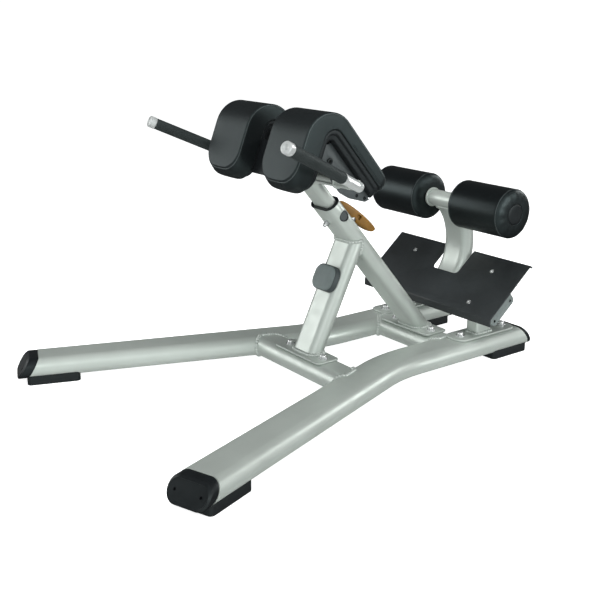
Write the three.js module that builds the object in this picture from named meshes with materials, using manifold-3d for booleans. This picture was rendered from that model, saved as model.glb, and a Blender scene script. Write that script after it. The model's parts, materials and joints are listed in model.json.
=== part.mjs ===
// Roman chair (45 degree back extension bench) for a gym, as a three.js scene graph.
// Millimetres, +Z up. The machine group's own datum is the point on the floor, on the
// symmetry plane, level with the bend in the two legs; -Y is the head end, +Y the foot end.
// The exported group shifts that datum so that its origin is the middle of the footprint.

import * as THREE from "three";
import { mergeVertices } from "three/addons/utils/BufferGeometryUtils.js";
import Module from "manifold-3d";

// ---------------------------------------------------------------- driving dimensions

const datumY = 156; // legs' bend, measured from the middle of the footprint
const gap = 0.3; // clearance between pieces that touch
const wall = 3; // wall of every steel tube
const far = 1000; // reach of a cutting shape in the directions that only have to clear the piece
const mergeDistance = 1e-4; // vertices nearer than this are one vertex

const floorGap = 16; // underside of the legs above the floor
const leg = {
  width: 120,
  height: 60,
  halfSpacing: 169, // centre line of the parallel rear part
  splay: 19.9, // degrees that the front part turns outwards
  bendRadius: 450,
  frontLength: 856, // from the bend to the cut end, at mid height
  rearLength: 515,
  slant: 36, // how much further the bottom of a cut end reaches than its top
  overrun: 60, // extra length at each end, which the slanted cut takes off
};
const legAxisZ = floorGap + leg.height / 2;
const legTop = floorGap + leg.height;

const cap = { frontDepth: 31, rearDepth: 19, bevel: 7, inset: 0.6 };
const foot = { width: 109, length: 148, height: 27, corner: 12, frontEnd: 875, rearEnd: 524 };

const crossbar = { width: 100, height: 60, frontY: -168, rearY: 248 };
const basePlate = { width: 210, thickness: 6, corner: 12, frontLength: 76, rearLength: 86 };
const plateTop = legTop + gap + basePlate.thickness;
const bolt = { spacing: 156, shank: 5, head: 8.8, headHeight: 10, washer: 13.5, washerHeight: 2.5 };

const oval = { width: 100, height: 50 }; // flat-oval tube of the post, main tube and roller arm
const mainTube = { baseY: 253.5, slope: 49.75, length: 554, overrun: 100 };
const post = { baseY: -160.5, slope: 64.2, length: 400, overrun: 100, setIn: 5 };
const badge = { width: 92, height: 76, thickness: 21, corner: 28, bevel: 3, up: 212 };

const sightHole = { radius: 16, up: 509, out: 2 }; // in the side of the main tube
const setScrew = { up: 499, x: -10, length: 16, head: 9, shank: 6.5 };
const bushing = { rim: 1.6, rimHeight: 4, length: 28 };

const slide = { width: 84, height: 34, bottom: 300, top: 692 };
const indexHole = { radius: 6, pitch: 40, lowest: 330, count: 5 };

const plunger = { up: 450, radius: 4.7, housing: 13, housingTop: 45.7 };
const lever = { length: 162, width: 36, thickness: 20, tilt: 12, up: 438, out: 58 };
const spring = { radius: 7, wire: 0.8, turns: 3, pitch: 1.7 };

const wing = { width: 38, height: 26, corner: 10, y: -197.2, z: 599.2, halfLength: 250 };
const handle = {
  base: [241.6, -197.2, 599.2],
  direction: [0.262, -0.875, 0.406],
  radius: 13.5,
  start: -28,
  gripStart: 64,
  gripEnd: 291,
  gripRadius: 15.2,
  tipRadius: 15.8,
  tipLength: 20,
  nose: 8, // length over which the bar's lower end draws in
};

const bracket = {
  x: 172,
  thickness: 5,
  flange: 30,
  flangeFrom: 572,
  flangeTo: 772,
  // The web's corners, square off the main tube's axis and up along it, with their radii.
  web: [
    [14, 790, 6], [-14, 772, 12], [-27, 700, 10], [-27, 660, 14],
    [-14, 626, 14], [14, 584, 10],
  ],
  holes: [[1, 748, 6], [7, 615, 4], [21, 590, 4]],
};
const pad = { inner: 54, outer: 208, faceLean: 21.4, faceThickness: 59, thighThickness: 35.2 };
const padFaceBottom = [-375, 599];
const thigh = { outer: 94.7, board: 33, end: 576 }; // heights above the main tube's axis, and its end
const crown = { outer: 79, inner: 32 };
const board = { inset: 4, frontThickness: 16, lowest: 8 };
const tongue = { from: 28, to: 120, thickness: 10 }; // heights up the pad's face

const sidePlate = { width: 80, length: 242, corner: 30, centreY: 367, boltFront: 282, boltRear: 461 };
const riser = { width: 45, length: 65, corner: 8, centreY: 360.5 };
const tread = {
  halfWidth: 280,
  length: 213,
  thickness: 4,
  frontY: 284.8,
  frontZ: 160.2,
  slope: 40.1,
  lip: 23,
  rearLip: 14,
  notchHalfWidth: 54,
  notchBottom: 115,
  screwX: 168,
  screwLow: 35,
  screwHigh: 158,
  screwHole: 3.4,
};
const tray = { halfWidth: 268, start: 3.5, end: 112, depth: 47, corner: 14, wall: 3, hole: 4.5 };

const roller = { y: 369.3, z: 459, radius: 72.2, start: 66, seamIn: 80, seamOut: 263, end: 276 };
const rollerFace = { radius: 0.6, shoulder: 0.88, draw: 0.4 }; // of the roller's radius and end
const arm = { centreY: 261, centreZ: 322, radius: 174, steps: 8, footAngle: -86 };
const crossTube = { radius: 25, halfLength: 56 };
const shaftRadius = 12.5;
const collar = { radius: 29.5, length: 8 };
const hub = { radius: 24.6, disc: 30, discStart: 271 };

// ---------------------------------------------------------------- materials

function finish(color, roughness, metalness) {
  return new THREE.MeshStandardMaterial({ color, roughness, metalness });
}

const silverPaint = finish(0xc3ccc6, 0.38, 0.55);
const greyPaint = finish(0x585f61, 0.5, 0.4);
const blackPaint = finish(0x34393b, 0.5, 0.3);
const aluminium = finish(0xdfe3e4, 0.25, 0.95);
const chrome = finish(0xe6e8e8, 0.12, 1);
const steel = finish(0xa8adae, 0.35, 0.9);
const vinyl = finish(0x23272a, 0.55, 0);
const blackPlastic = finish(0x1f2224, 0.5, 0);
const greyPlastic = finish(0x747d7d, 0.5, 0);
const gripRubber = finish(0x3c4242, 0.75, 0);
const footRubber = finish(0x26292a, 0.85, 0);
const ochrePlastic = finish(0xb0823f, 0.45, 0);

// ---------------------------------------------------------------- frames and small helpers

const rad = THREE.MathUtils.degToRad;
const axisX = new THREE.Vector3(1, 0, 0);
const axisY = new THREE.Vector3(0, 1, 0);
const axisZ = new THREE.Vector3(0, 0, 1);

// A frame turned by an angle about X and put at a point on the symmetry plane.
function tiltedFrame(y, z, angle) {
  return new THREE.Matrix4().makeRotationX(angle).setPosition(0, y, z);
}

// Tube frames: local Z runs up the tube, local Y is square to its wide face, to the rear.
const mainFrame = tiltedFrame(mainTube.baseY, plateTop, rad(90 - mainTube.slope));
const postFrame = tiltedFrame(post.baseY, plateTop, rad(post.slope - 90));
// Tread frame: local Y runs up the slope of the tread, local Z is square to it, upwards.
const treadFrame = tiltedFrame(tread.frontY, tread.frontZ, rad(tread.slope));
const machineFrame = new THREE.Matrix4();

// A copy of a geometry given in one frame, as it stands in another frame.
function carried(geometry, from, to) {
  const matrix = to.clone().invert().multiply(from);
  return geometry.clone().applyMatrix4(matrix);
}

// The same geometry laid from its own XYZ into the given three directions.
function laid(geometry, x, y, z) {
  return geometry.applyMatrix4(new THREE.Matrix4().makeBasis(x, y, z));
}

function direction(angle) {
  return new THREE.Vector2(Math.cos(angle), Math.sin(angle));
}

// ---------------------------------------------------------------- joins and cuts

const wasm = await Module();
wasm.setup();

function solid(geometry) {
  const bare = geometry.clone();
  bare.deleteAttribute("normal");
  bare.deleteAttribute("uv");
  const merged = mergeVertices(bare, mergeDistance);
  const vertProperties = new Float32Array(merged.attributes.position.array);
  const triVerts = new Uint32Array(merged.index.array);
  return new wasm.Manifold(new wasm.Mesh({ numProp: 3, vertProperties, triVerts }));
}

function geometryOf(manifold) {
  const mesh = manifold.getMesh();
  const geometry = new THREE.BufferGeometry();
  geometry.setAttribute("position", new THREE.BufferAttribute(mesh.vertProperties, 3));
  geometry.setIndex(new THREE.BufferAttribute(mesh.triVerts, 1));
  geometry.computeVertexNormals();
  return geometry;
}

function cut(geometry, ...tools) {
  return geometryOf(tools.reduce((body, tool) => body.subtract(solid(tool)), solid(geometry)));
}

function join(geometry, ...others) {
  return geometryOf(others.reduce((body, other) => body.add(solid(other)), solid(geometry)));
}

function overlap(geometry, other) {
  return geometryOf(solid(geometry).intersect(solid(other)));
}

// ---------------------------------------------------------------- outlines

// A closed outline through corners [x, y, radius], each corner turned into an arc.
function roundedOutline(corners, stepAngle = 20) {
  const points = [];
  corners.forEach(([x, y, radius], i) => {
    const corner = new THREE.Vector2(x, y);
    const before = corners[(i + corners.length - 1) % corners.length];
    const after = corners[(i + 1) % corners.length];
    const back = new THREE.Vector2(before[0], before[1]).sub(corner).normalize();
    const ahead = new THREE.Vector2(after[0], after[1]).sub(corner).normalize();
    const opening = Math.acos(THREE.MathUtils.clamp(back.dot(ahead), -1, 1));
    const turn = Math.PI - opening;
    if (!radius || turn < 1e-3) {
      points.push(corner);
      return;
    }
    const bisector = back.clone().add(ahead).normalize();
    const centre = corner.clone().addScaledVector(bisector, radius / Math.sin(opening / 2));
    const start = corner.clone().addScaledVector(back, radius / Math.tan(opening / 2));
    const arm = start.clone().sub(centre);
    const sense = Math.sign(back.cross(ahead)) * -1;
    const count = Math.max(2, Math.ceil(turn / rad(stepAngle)));
    for (let k = 0; k <= count; k += 1) {
      const swung = arm.clone().rotateAround(new THREE.Vector2(), (sense * turn * k) / count);
      points.push(centre.clone().add(swung));
    }
  });
  return points;
}

function rectangle(width, height, radius, stepAngle) {
  const x = width / 2;
  const y = height / 2;
  const corners = [[x, y, radius], [-x, y, radius], [-x, -y, radius], [x, -y, radius]];
  return roundedOutline(corners, stepAngle);
}

// Flat-oval: two flat sides joined by half circles.
function flatOval(width, height, stepAngle = 30) {
  return rectangle(width, height, Math.min(width, height) / 2 - 0.01, stepAngle);
}

function circle(radius, segments = 12, x = 0, y = 0) {
  const points = [];
  for (let k = 0; k < segments; k += 1) {
    const point = direction((2 * Math.PI * k) / segments).multiplyScalar(radius);
    points.push(point.add(new THREE.Vector2(x, y)));
  }
  return points;
}

function ellipse(width, length, segments = 24) {
  const points = [];
  for (let k = 0; k < segments; k += 1) {
    const point = direction((2 * Math.PI * k) / segments);
    points.push(new THREE.Vector2((point.y * width) / 2, (point.x * length) / 2));
  }
  return points;
}

function shapeOf(outline, holes = []) {
  const shape = new THREE.Shape(outline);
  shape.holes = holes.map((hole) => new THREE.Path(hole));
  return shape;
}

// A tube section: an outline of the given size with the same outline, one wall smaller, inside.
function tubeSection(outlineOf, width, height) {
  return shapeOf(outlineOf(width, height), [outlineOf(width - 2 * wall, height - 2 * wall)]);
}

function prism(shape, depth, from = 0) {
  const geometry = new THREE.ExtrudeGeometry(shape, { depth, bevelEnabled: false, steps: 1 });
  return geometry.translate(0, 0, from);
}

// A prism whose outline is drawn in the YZ plane and which runs along X.
function sidePrism(shape, from, to) {
  return laid(prism(shape, to - from), axisY, axisZ, axisX).translate(from, 0, 0);
}

function block(x0, x1, y0, y1, z0, z1) {
  const geometry = new THREE.BoxGeometry(x1 - x0, y1 - y0, z1 - z0);
  return geometry.translate((x0 + x1) / 2, (y0 + y1) / 2, (z0 + z1) / 2);
}

function rod(radius, from, to, segments = 16) {
  return prism(shapeOf(circle(radius, segments)), to - from, from);
}

// A turned piece about local Z from a profile of [radius, height] points.
function turned(profile, segments = 16) {
  const points = profile.map(([radius, height]) => new THREE.Vector2(radius, height));
  return laid(new THREE.LatheGeometry(points, segments), axisX, axisZ, axisY.clone().negate());
}

// ---------------------------------------------------------------- swept tubes

// A planar path given by its own stations, so that steps fall only where the path bends.
class StationPath extends THREE.Curve {
  constructor(stations) {
    super();
    this.stations = stations;
  }

  stationAt(u) {
    return this.stations[Math.round(u * (this.stations.length - 1))];
  }

  getPointAt(u, target = new THREE.Vector3()) {
    return target.copy(this.stationAt(u).point);
  }

  getTangentAt(u, target = new THREE.Vector3()) {
    return target.copy(this.stationAt(u).tangent);
  }
}

function sweep(shape, stations) {
  const extrudePath = new StationPath(stations);
  return new THREE.ExtrudeGeometry(shape, { extrudePath, steps: stations.length - 1 });
}

// Stations of one leg: straight front part, bend, straight rear part, in the floor's XY.
function legStations(side, frontLength, rearLength, steps = 5) {
  const splay = rad(leg.splay);
  const tangentLength = leg.bendRadius * Math.tan(splay / 2);
  const forward = new THREE.Vector3(side * Math.sin(splay), -Math.cos(splay), 0);
  const bend = new THREE.Vector3(side * leg.halfSpacing, 0, legAxisZ);
  const stations = [];
  const frontEnd = bend.clone().addScaledVector(forward, frontLength);
  stations.push({ point: frontEnd, tangent: forward.clone().negate() });
  const centreX = side * (leg.halfSpacing + leg.bendRadius);
  for (let k = 0; k <= steps; k += 1) {
    const angle = splay * (1 - k / steps);
    const x = centreX - side * leg.bendRadius * Math.cos(angle);
    const y = tangentLength - leg.bendRadius * Math.sin(angle);
    const tangent = new THREE.Vector3(-side * Math.sin(angle), Math.cos(angle), 0);
    stations.push({ point: new THREE.Vector3(x, y, legAxisZ), tangent });
  }
  const rearEnd = bend.clone().setY(rearLength);
  stations.push({ point: rearEnd, tangent: axisY.clone() });
  return stations;
}

// The frame of a leg's end: local Y points out along the leg, from the bend's centre.
function legEndFrame(side, rear) {
  const turn = rear ? 0 : Math.PI + side * rad(leg.splay);
  const frame = new THREE.Matrix4().makeRotationZ(turn);
  return frame.setPosition(side * leg.halfSpacing, 0, legAxisZ);
}

// Leans a geometry so that its lower half reaches further along local Y than its upper half.
function slanted(geometry) {
  const lean = new THREE.Matrix4();
  lean.elements[9] = -leg.slant / leg.height;
  return geometry.applyMatrix4(lean);
}

// ---------------------------------------------------------------- the scene graph

const machine = new THREE.Group();
machine.position.y = datumY;

function frameGroup(frame) {
  const group = new THREE.Group();
  group.applyMatrix4(frame);
  machine.add(group);
  return group;
}

const mainGroup = frameGroup(mainFrame);
const postGroup = frameGroup(postFrame);
const treadGroup = frameGroup(treadFrame);

function piece(name, geometry, material, parent = machine) {
  const mesh = new THREE.Mesh(geometry, material);
  mesh.name = name;
  parent.add(mesh);
  return mesh;
}

const sides = [["right", 1], ["left", -1]];

// ---------------------------------------------------------------- base

function overlongLeg(side) {
  return legStations(side, leg.frontLength + leg.overrun, leg.rearLength + leg.overrun);
}

function legSolid(side, grow) {
  const section = shapeOf(flatOval(leg.height + 2 * grow, leg.width + 2 * grow));
  return sweep(section, overlongLeg(side));
}

function endCut(length) {
  return slanted(block(-far, far, length, far, -leg.height, leg.height));
}

function buildLeg(name, side) {
  const outer = (w, h) => flatOval(h, w);
  const section = tubeSection(outer, leg.width, leg.height);
  const tube = sweep(section, overlongLeg(side));
  const ends = [[false, leg.frontLength], [true, leg.rearLength]].map(([rear, length]) =>
    carried(endCut(length), legEndFrame(side, rear), machineFrame));
  piece(`leg_${name}`, cut(tube, ...ends), silverPaint);
}

function buildCap(name, side, rear) {
  const length = rear ? leg.rearLength : leg.frontLength;
  const width = leg.width - 2 * (cap.inset + cap.bevel);
  const height = leg.height - 2 * (cap.inset + cap.bevel);
  const depth = rear ? cap.rearDepth : cap.frontDepth;
  const settings = {
    depth: depth - cap.bevel,
    bevelEnabled: true,
    bevelThickness: cap.bevel,
    bevelSize: cap.bevel,
    bevelSegments: 2,
  };
  const blank = new THREE.ExtrudeGeometry(shapeOf(flatOval(width, height)), settings);
  laid(blank, axisX, axisZ.clone().negate(), axisY);
  const keep = block(-leg.width, leg.width, gap, depth + gap, -leg.height, leg.height);
  const geometry = slanted(overlap(blank, keep)).translate(0, length, 0);
  const mesh = piece(`end_cap_${rear ? "rear" : "front"}_${name}`, geometry, blackPlastic);
  mesh.applyMatrix4(legEndFrame(side, rear));
}

function buildFoot(name, side, rear) {
  const end = rear ? foot.rearEnd : foot.frontEnd;
  const outline = rectangle(foot.width, foot.length, foot.corner, 30);
  const blank = prism(shapeOf(outline), foot.height).translate(0, end - foot.length / 2, -legAxisZ);
  const section = shapeOf(flatOval(leg.width + 2 * gap, leg.height + 2 * gap));
  const bed = laid(prism(section, far), axisX, axisZ, axisY.clone().negate());
  bed.translate(0, end + foot.length, 0);
  const mesh = piece(`foot_${rear ? "rear" : "front"}_${name}`, cut(blank, bed), footRubber);
  mesh.applyMatrix4(legEndFrame(side, rear));
}

function buildCrossbar(name, y) {
  const section = tubeSection((w, h) => flatOval(w, h), crossbar.width, crossbar.height);
  const reach = leg.halfSpacing + Math.max(0, -y) * Math.tan(rad(leg.splay));
  const tube = sidePrism(section, -reach, reach).translate(0, y, legAxisZ);
  piece(name, cut(tube, legSolid(1, gap), legSolid(-1, gap)), silverPaint);
}

function buildBolt(name, x, y) {
  const { shank, head, headHeight, washer, washerHeight } = bolt;
  const profile = [
    [0, gap - basePlate.thickness],
    [shank, gap - basePlate.thickness],
    [shank, gap],
    [washer, gap],
    [washer, washerHeight],
    [head, washerHeight],
    [head, washerHeight + headHeight * 0.5],
    [head * 0.7, washerHeight + headHeight * 0.9],
    [0, washerHeight + headHeight],
  ];
  const mesh = piece(name, turned(profile, 8), chrome);
  mesh.position.set(x, y, plateTop);
}

function buildBasePlate(name, length, y) {
  const outline = rectangle(basePlate.width, length, basePlate.corner, 30);
  const holes = [-1, 1].map((k) => circle(bolt.shank + gap, 12, (k * bolt.spacing) / 2, 0));
  const geometry = prism(shapeOf(outline, holes), basePlate.thickness);
  piece(`base_plate_${name}`, geometry, silverPaint).position.set(0, y, legTop + gap);
  sides.forEach(([side, k]) => buildBolt(`bolt_${name}_${side}`, (k * bolt.spacing) / 2, y));
}

function buildSidePlate(name, side) {
  const outline = rectangle(sidePlate.width, sidePlate.length, sidePlate.corner, 22.5);
  const rows = [sidePlate.boltFront, sidePlate.boltRear];
  const holes = rows.map((y) => circle(bolt.shank + gap, 12, 0, y - sidePlate.centreY));
  const geometry = prism(shapeOf(outline, holes), basePlate.thickness);
  const mesh = piece(`side_plate_${name}`, geometry, silverPaint);
  mesh.position.set(side * leg.halfSpacing, sidePlate.centreY, legTop + gap);
  buildBolt(`bolt_side_front_${name}`, side * leg.halfSpacing, rows[0]);
  buildBolt(`bolt_side_rear_${name}`, side * leg.halfSpacing, rows[1]);
}

sides.forEach(([name, side]) => {
  buildLeg(name, side);
  [false, true].forEach((rear) => {
    buildCap(name, side, rear);
    buildFoot(name, side, rear);
  });
  buildSidePlate(name, side);
});
buildCrossbar("crossbar_front", crossbar.frontY);
buildCrossbar("crossbar_rear", crossbar.rearY);
buildBasePlate("front", basePlate.frontLength, crossbar.frontY);
buildBasePlate("rear", basePlate.rearLength, crossbar.rearY);

// ---------------------------------------------------------------- post and main tube

const floorBlock = block(-far, far, -far, far, -far, plateTop + gap);

function buildMainTube() {
  const section = tubeSection((w, h) => flatOval(w, h), oval.width, oval.height);
  const tube = prism(section, mainTube.length + mainTube.overrun, -mainTube.overrun);
  const sight = laid(rod(sightHole.radius, 0, far), axisY, axisZ, axisX);
  sight.translate(0, sightHole.out, sightHole.up);
  const pinHole = laid(rod(plunger.radius + gap, 0, far), axisX, axisZ.clone().negate(), axisY);
  pinHole.translate(0, 0, plunger.up);
  const foot = carried(floorBlock, machineFrame, mainFrame);
  piece("main_tube", cut(tube, sight, pinHole, foot), silverPaint, mainGroup);
}

function buildPost() {
  const section = tubeSection((w, h) => flatOval(w, h), oval.width, oval.height);
  const tube = prism(section, post.length + post.overrun, -post.overrun);
  const foot = carried(floorBlock, machineFrame, postFrame);
  const grown = shapeOf(flatOval(oval.width + 2 * gap, oval.height + 2 * gap));
  const saddle = carried(prism(grown, mainTube.length), mainFrame, postFrame);
  const beyond = carried(block(-far, far, -post.setIn, far, -far, far), mainFrame, postFrame);
  piece("front_post", cut(tube, foot, saddle, beyond), silverPaint, postGroup);
}

function buildBadge() {
  const { width, height, thickness, corner, bevel } = badge;
  const outline = rectangle(width - 2 * bevel, height - 2 * bevel, corner - bevel, 22.5);
  const settings = { depth: thickness, bevelThickness: bevel, bevelSize: bevel, bevelSegments: 2 };
  const blank = new THREE.ExtrudeGeometry(shapeOf(outline), settings);
  laid(blank, axisX, axisZ, axisY.clone().negate());
  const keep = block(-width, width, -thickness - gap, 0, -height, height);
  const plate = overlap(blank.translate(0, bevel - gap, 0), keep);
  plate.translate(0, -oval.height / 2 - gap, badge.up);
  piece("badge", plate, greyPlastic, postGroup);
}

function buildBushing() {
  const clear = (size) => size - 2 * wall - 2 * gap;
  const bore = flatOval(slide.width + 2 * gap, slide.height + 2 * gap);
  const sleeve = shapeOf(flatOval(clear(oval.width), clear(oval.height)), [bore]);
  const rimOutline = flatOval(oval.width + 2 * bushing.rim, oval.height + 2 * bushing.rim);
  const rim = prism(shapeOf(rimOutline, [bore]), bushing.rimHeight, mainTube.length + gap);
  const skirt = prism(sleeve, bushing.length + 2, mainTube.length - bushing.length);
  piece("tube_bushing", join(rim, skirt), blackPlastic, mainGroup);
}

function buildSetScrew() {
  const { length, head, shank } = setScrew;
  const profile = [
    [0, 0], [head, 0], [head, shank - 0.5], [shank, shank], [shank, length - 2],
    [shank - 2.5, length], [0, length],
  ];
  const mesh = piece("set_screw", turned(profile, 8), chrome, mainGroup);
  mesh.position.set(setScrew.x, -oval.height / 2 - gap, setScrew.up);
  mesh.rotation.x = Math.PI / 2;
}

buildMainTube();
buildPost();
buildBadge();
buildBushing();
buildSetScrew();

// ---------------------------------------------------------------- spring plunger and its lever

// The plunger's pieces are drawn about local Z, which stands square out of the main tube.
const plungerGroup = new THREE.Group();
plungerGroup.position.set(0, 0, plunger.up);
plungerGroup.rotation.x = -Math.PI / 2;
mainGroup.add(plungerGroup);

const tubeFace = oval.height / 2;
const chamber = { bottom: tubeFace + 2, top: 44.2, radius: 9.2 };
const flange = { bottom: chamber.bottom + gap, top: chamber.bottom + gap + 1.5, radius: 8.8 };
const pinTop = lever.out - 3;
const recess = { radius: plunger.housing + 1.5, top: plunger.housingTop + 0.8 };

function buildHousing() {
  const bore = plunger.radius + gap;
  const profile = [
    [bore, tubeFace + gap],
    [plunger.housing, tubeFace + gap],
    [plunger.housing, plunger.housingTop],
    [bore, plunger.housingTop],
    [bore, chamber.top],
    [chamber.radius, chamber.top],
    [chamber.radius, chamber.bottom],
    [bore, chamber.bottom],
    [bore, tubeFace + gap],
  ];
  piece("plunger_housing", turned(profile), steel, plungerGroup);
}

function buildPin() {
  const tip = slide.height / 2 + gap;
  const profile = [
    [0, tip],
    [plunger.radius - 1, tip],
    [plunger.radius, tip + 1],
    [plunger.radius, flange.bottom],
    [flange.radius, flange.bottom],
    [flange.radius, flange.top],
    [plunger.radius, flange.top],
    [plunger.radius, pinTop],
    [0, pinTop],
  ];
  piece("plunger_pin", turned(profile), steel, plungerGroup);
}

// The return spring, drawn at the length that it has when the lever is pulled right out.
function buildSpring() {
  const steps = spring.turns * 10;
  const stations = [];
  for (let k = 0; k <= steps; k += 1) {
    const angle = (2 * Math.PI * k) / 10;
    const height = flange.top + gap + spring.wire + (spring.pitch * k) / 10;
    const point = new THREE.Vector3(Math.cos(angle), Math.sin(angle), 0).multiplyScalar(spring.radius);
    point.z = height;
    const tangent = new THREE.Vector3(-Math.sin(angle), Math.cos(angle), 0);
    tangent.z = spring.pitch / (2 * Math.PI * spring.radius);
    stations.push({ point, tangent: tangent.normalize() });
  }
  piece("plunger_spring", sweep(shapeOf(circle(spring.wire, 5)), stations), steel, plungerGroup);
}

// A boat-shaped pull handle, hollowed under its middle to clear the housing.
function buildLever() {
  const plan = prism(shapeOf(ellipse(lever.width, lever.length)), lever.thickness);
  plan.translate(0, 0, -lever.thickness / 2);
  const profile = prism(shapeOf(ellipse(lever.thickness, lever.length)), lever.width);
  profile.translate(0, 0, -lever.width / 2);
  laid(profile, axisZ.clone().negate(), axisY, axisX);
  const blade = overlap(plan, profile);
  blade.rotateX(rad(lever.tilt));
  blade.translate(0, plunger.up - lever.up, lever.out);
  const hollow = rod(recess.radius, 0, recess.top);
  const socket = rod(plunger.radius + gap, 0, pinTop + gap);
  piece("release_lever", cut(blade, hollow, socket), ochrePlastic, plungerGroup);
}

buildHousing();
buildPin();
buildSpring();
buildLever();

// ---------------------------------------------------------------- sliding carriage

// The bar across the carriage, along X; grown, it is the hole that other pieces leave for it.
function wingOutline(grow) {
  return rectangle(wing.width + 2 * grow, wing.height + 2 * grow, wing.corner + grow, 30);
}

function wingBar(grow, holes = []) {
  const bar = sidePrism(shapeOf(wingOutline(grow), holes), -wing.halfLength, wing.halfLength);
  return bar.translate(0, wing.y, wing.z);
}

function handleFrame(side) {
  const along = new THREE.Vector3(...handle.direction).normalize();
  along.x *= side;
  const turn = new THREE.Quaternion().setFromUnitVectors(axisZ, along);
  const [x, y, z] = handle.base;
  const place = new THREE.Vector3(side * x, y, z);
  return new THREE.Matrix4().compose(place, turn, new THREE.Vector3(1, 1, 1));
}

function buildSlideTube() {
  const section = tubeSection((w, h) => flatOval(w, h), slide.width, slide.height);
  const tube = prism(section, slide.top - slide.bottom, slide.bottom);
  const holes = [];
  for (let k = 0; k < indexHole.count; k += 1) {
    const hole = laid(rod(indexHole.radius, 0, far, 12), axisX, axisZ.clone().negate(), axisY);
    holes.push(hole.translate(0, 0, indexHole.lowest + k * indexHole.pitch));
  }
  const wingHole = carried(wingBar(gap), machineFrame, mainFrame);
  piece("slide_tube", cut(tube, wingHole, ...holes), silverPaint, mainGroup);
}

// Each end of the wing tube is coped to the handle that is welded across it.
function buildWing() {
  const tube = wingBar(0, [wingOutline(-wall)]);
  const copes = [1, -1].flatMap((side) => {
    const handleBar = rod(handle.radius + gap, -far, far);
    const outside = block(Math.min(0, side * far), Math.max(0, side * far), -far, far, -far, far);
    return [handleBar, outside].map((shape) => carried(shape, handleFrame(side), machineFrame));
  });
  piece("wing_tube", cut(tube, ...copes), silverPaint);
}

function buildHandle(name, side) {
  const { radius, start, nose, gripStart, gripEnd, gripRadius, tipRadius, tipLength } = handle;
  const inner = radius - wall;
  const bar = [
    [0, start],
    [radius * 0.6, start + 2],
    [radius, start + nose],
    [radius, gripEnd],
    [inner, gripEnd],
    [inner, start + 1.5 * nose],
    [0, start + 1.5 * nose],
  ];
  const bore = radius + gap;
  const grip = [
    [bore, gripStart],
    [gripRadius, gripStart],
    [gripRadius, gripEnd - gap],
    [bore, gripEnd - gap],
    [bore, gripStart],
  ];
  const tip = [
    [0, gripEnd + gap],
    [tipRadius - 1.5, gripEnd + gap],
    [tipRadius, gripEnd + 2],
    [tipRadius, gripEnd + tipLength - 4],
    [tipRadius - 4, gripEnd + tipLength],
    [0, gripEnd + tipLength],
  ];
  const frame = handleFrame(side);
  const pieces = [["bar", bar, aluminium], ["grip", grip, gripRubber], ["tip", tip, aluminium]];
  pieces.forEach(([part, profile, material]) => {
    piece(`handle_${part}_${name}`, turned(profile), material).applyMatrix4(frame);
  });
}

// Side bracket: a web that follows the main tube's slope, with a flange under the pad board.
function buildBracket(name, side) {
  const top = thigh.board - gap;
  const web = [[top, 781, 3], ...bracket.web, [top, 560, 4]];
  const holes = bracket.holes.map(([out, along, radius]) => circle(radius, 12, out, along));
  const [low, high] = side > 0 ? [0, bracket.thickness] : [-bracket.thickness, 0];
  const plate = sidePrism(shapeOf(roundedOutline(web, 30), holes), low, high);
  const inward = side > 0 ? [-bracket.flange, 1] : [-1, bracket.flange];
  const { thickness, flangeFrom, flangeTo } = bracket;
  const ledge = block(...inward, top - thickness, top, flangeFrom, flangeTo);
  const angle = join(plate, ledge).translate(side * bracket.x, 0, 0);
  const wingHole = carried(wingBar(gap), machineFrame, mainFrame);
  piece(`pad_bracket_${name}`, cut(angle, wingHole), greyPaint, mainGroup);
}

const faceUp = direction(rad(90 - pad.faceLean)); // up the pad's front face, in YZ
const faceBack = new THREE.Vector2(faceUp.y, -faceUp.x);
const tubeUp = direction(rad(180 - mainTube.slope)); // up the main tube, in YZ
const tubeOut = new THREE.Vector2(tubeUp.y, -tubeUp.x);

function onFace(up, back) {
  const point = new THREE.Vector2(...padFaceBottom);
  return point.addScaledVector(faceUp, up).addScaledVector(faceBack, back);
}

function onThigh(out, along) {
  const point = new THREE.Vector2(mainTube.baseY, plateTop);
  return point.addScaledVector(tubeOut, out).addScaledVector(tubeUp, along);
}

// Where the line a given depth behind the face meets the line a given height over the tube.
function crest(back, out) {
  const start = onFace(0, back);
  const offset = onThigh(out, 0).sub(start);
  return start.addScaledVector(faceUp, offset.dot(tubeOut) / faceUp.dot(tubeOut));
}

function corner(point, radius) {
  return [point.x, point.y, radius];
}

function buildPad(name, side) {
  const inner = thigh.outer - pad.thighThickness;
  const outline = roundedOutline([
    corner(onFace(0, 0), 14),
    corner(onFace(0, pad.faceThickness), 8),
    corner(crest(pad.faceThickness, inner), crown.inner),
    corner(onThigh(inner, thigh.end), 6),
    corner(onThigh(thigh.outer, thigh.end), 20),
    corner(crest(0, thigh.outer), crown.outer),
  ]);
  const [from, to] = side > 0 ? [pad.inner, pad.outer] : [-pad.outer, -pad.inner];
  piece(`hip_pad_${name}`, sidePrism(shapeOf(outline), from, to), vinyl);
}

function buildBoard(name, side) {
  const outer = thigh.outer - pad.thighThickness - gap;
  const front = pad.faceThickness + gap;
  const back = front + board.frontThickness;
  const outline = roundedOutline([
    corner(onFace(board.lowest, front), 2),
    corner(onFace(board.lowest, back), 12),
    corner(crest(back, thigh.board), 14),
    corner(onThigh(thigh.board, thigh.end + 4), 4),
    corner(onThigh(outer, thigh.end + 4), 3),
    corner(crest(front, outer), crown.inner - gap),
  ]);
  const from = pad.inner + board.inset;
  const to = pad.outer - board.inset;
  const [low, high] = side > 0 ? [from, to] : [-to, -from];
  const shell = sidePrism(shapeOf(outline), low, high);
  piece(`pad_board_${name}`, join(shell, boardTongue(side, front)), blackPlastic);
}

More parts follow.
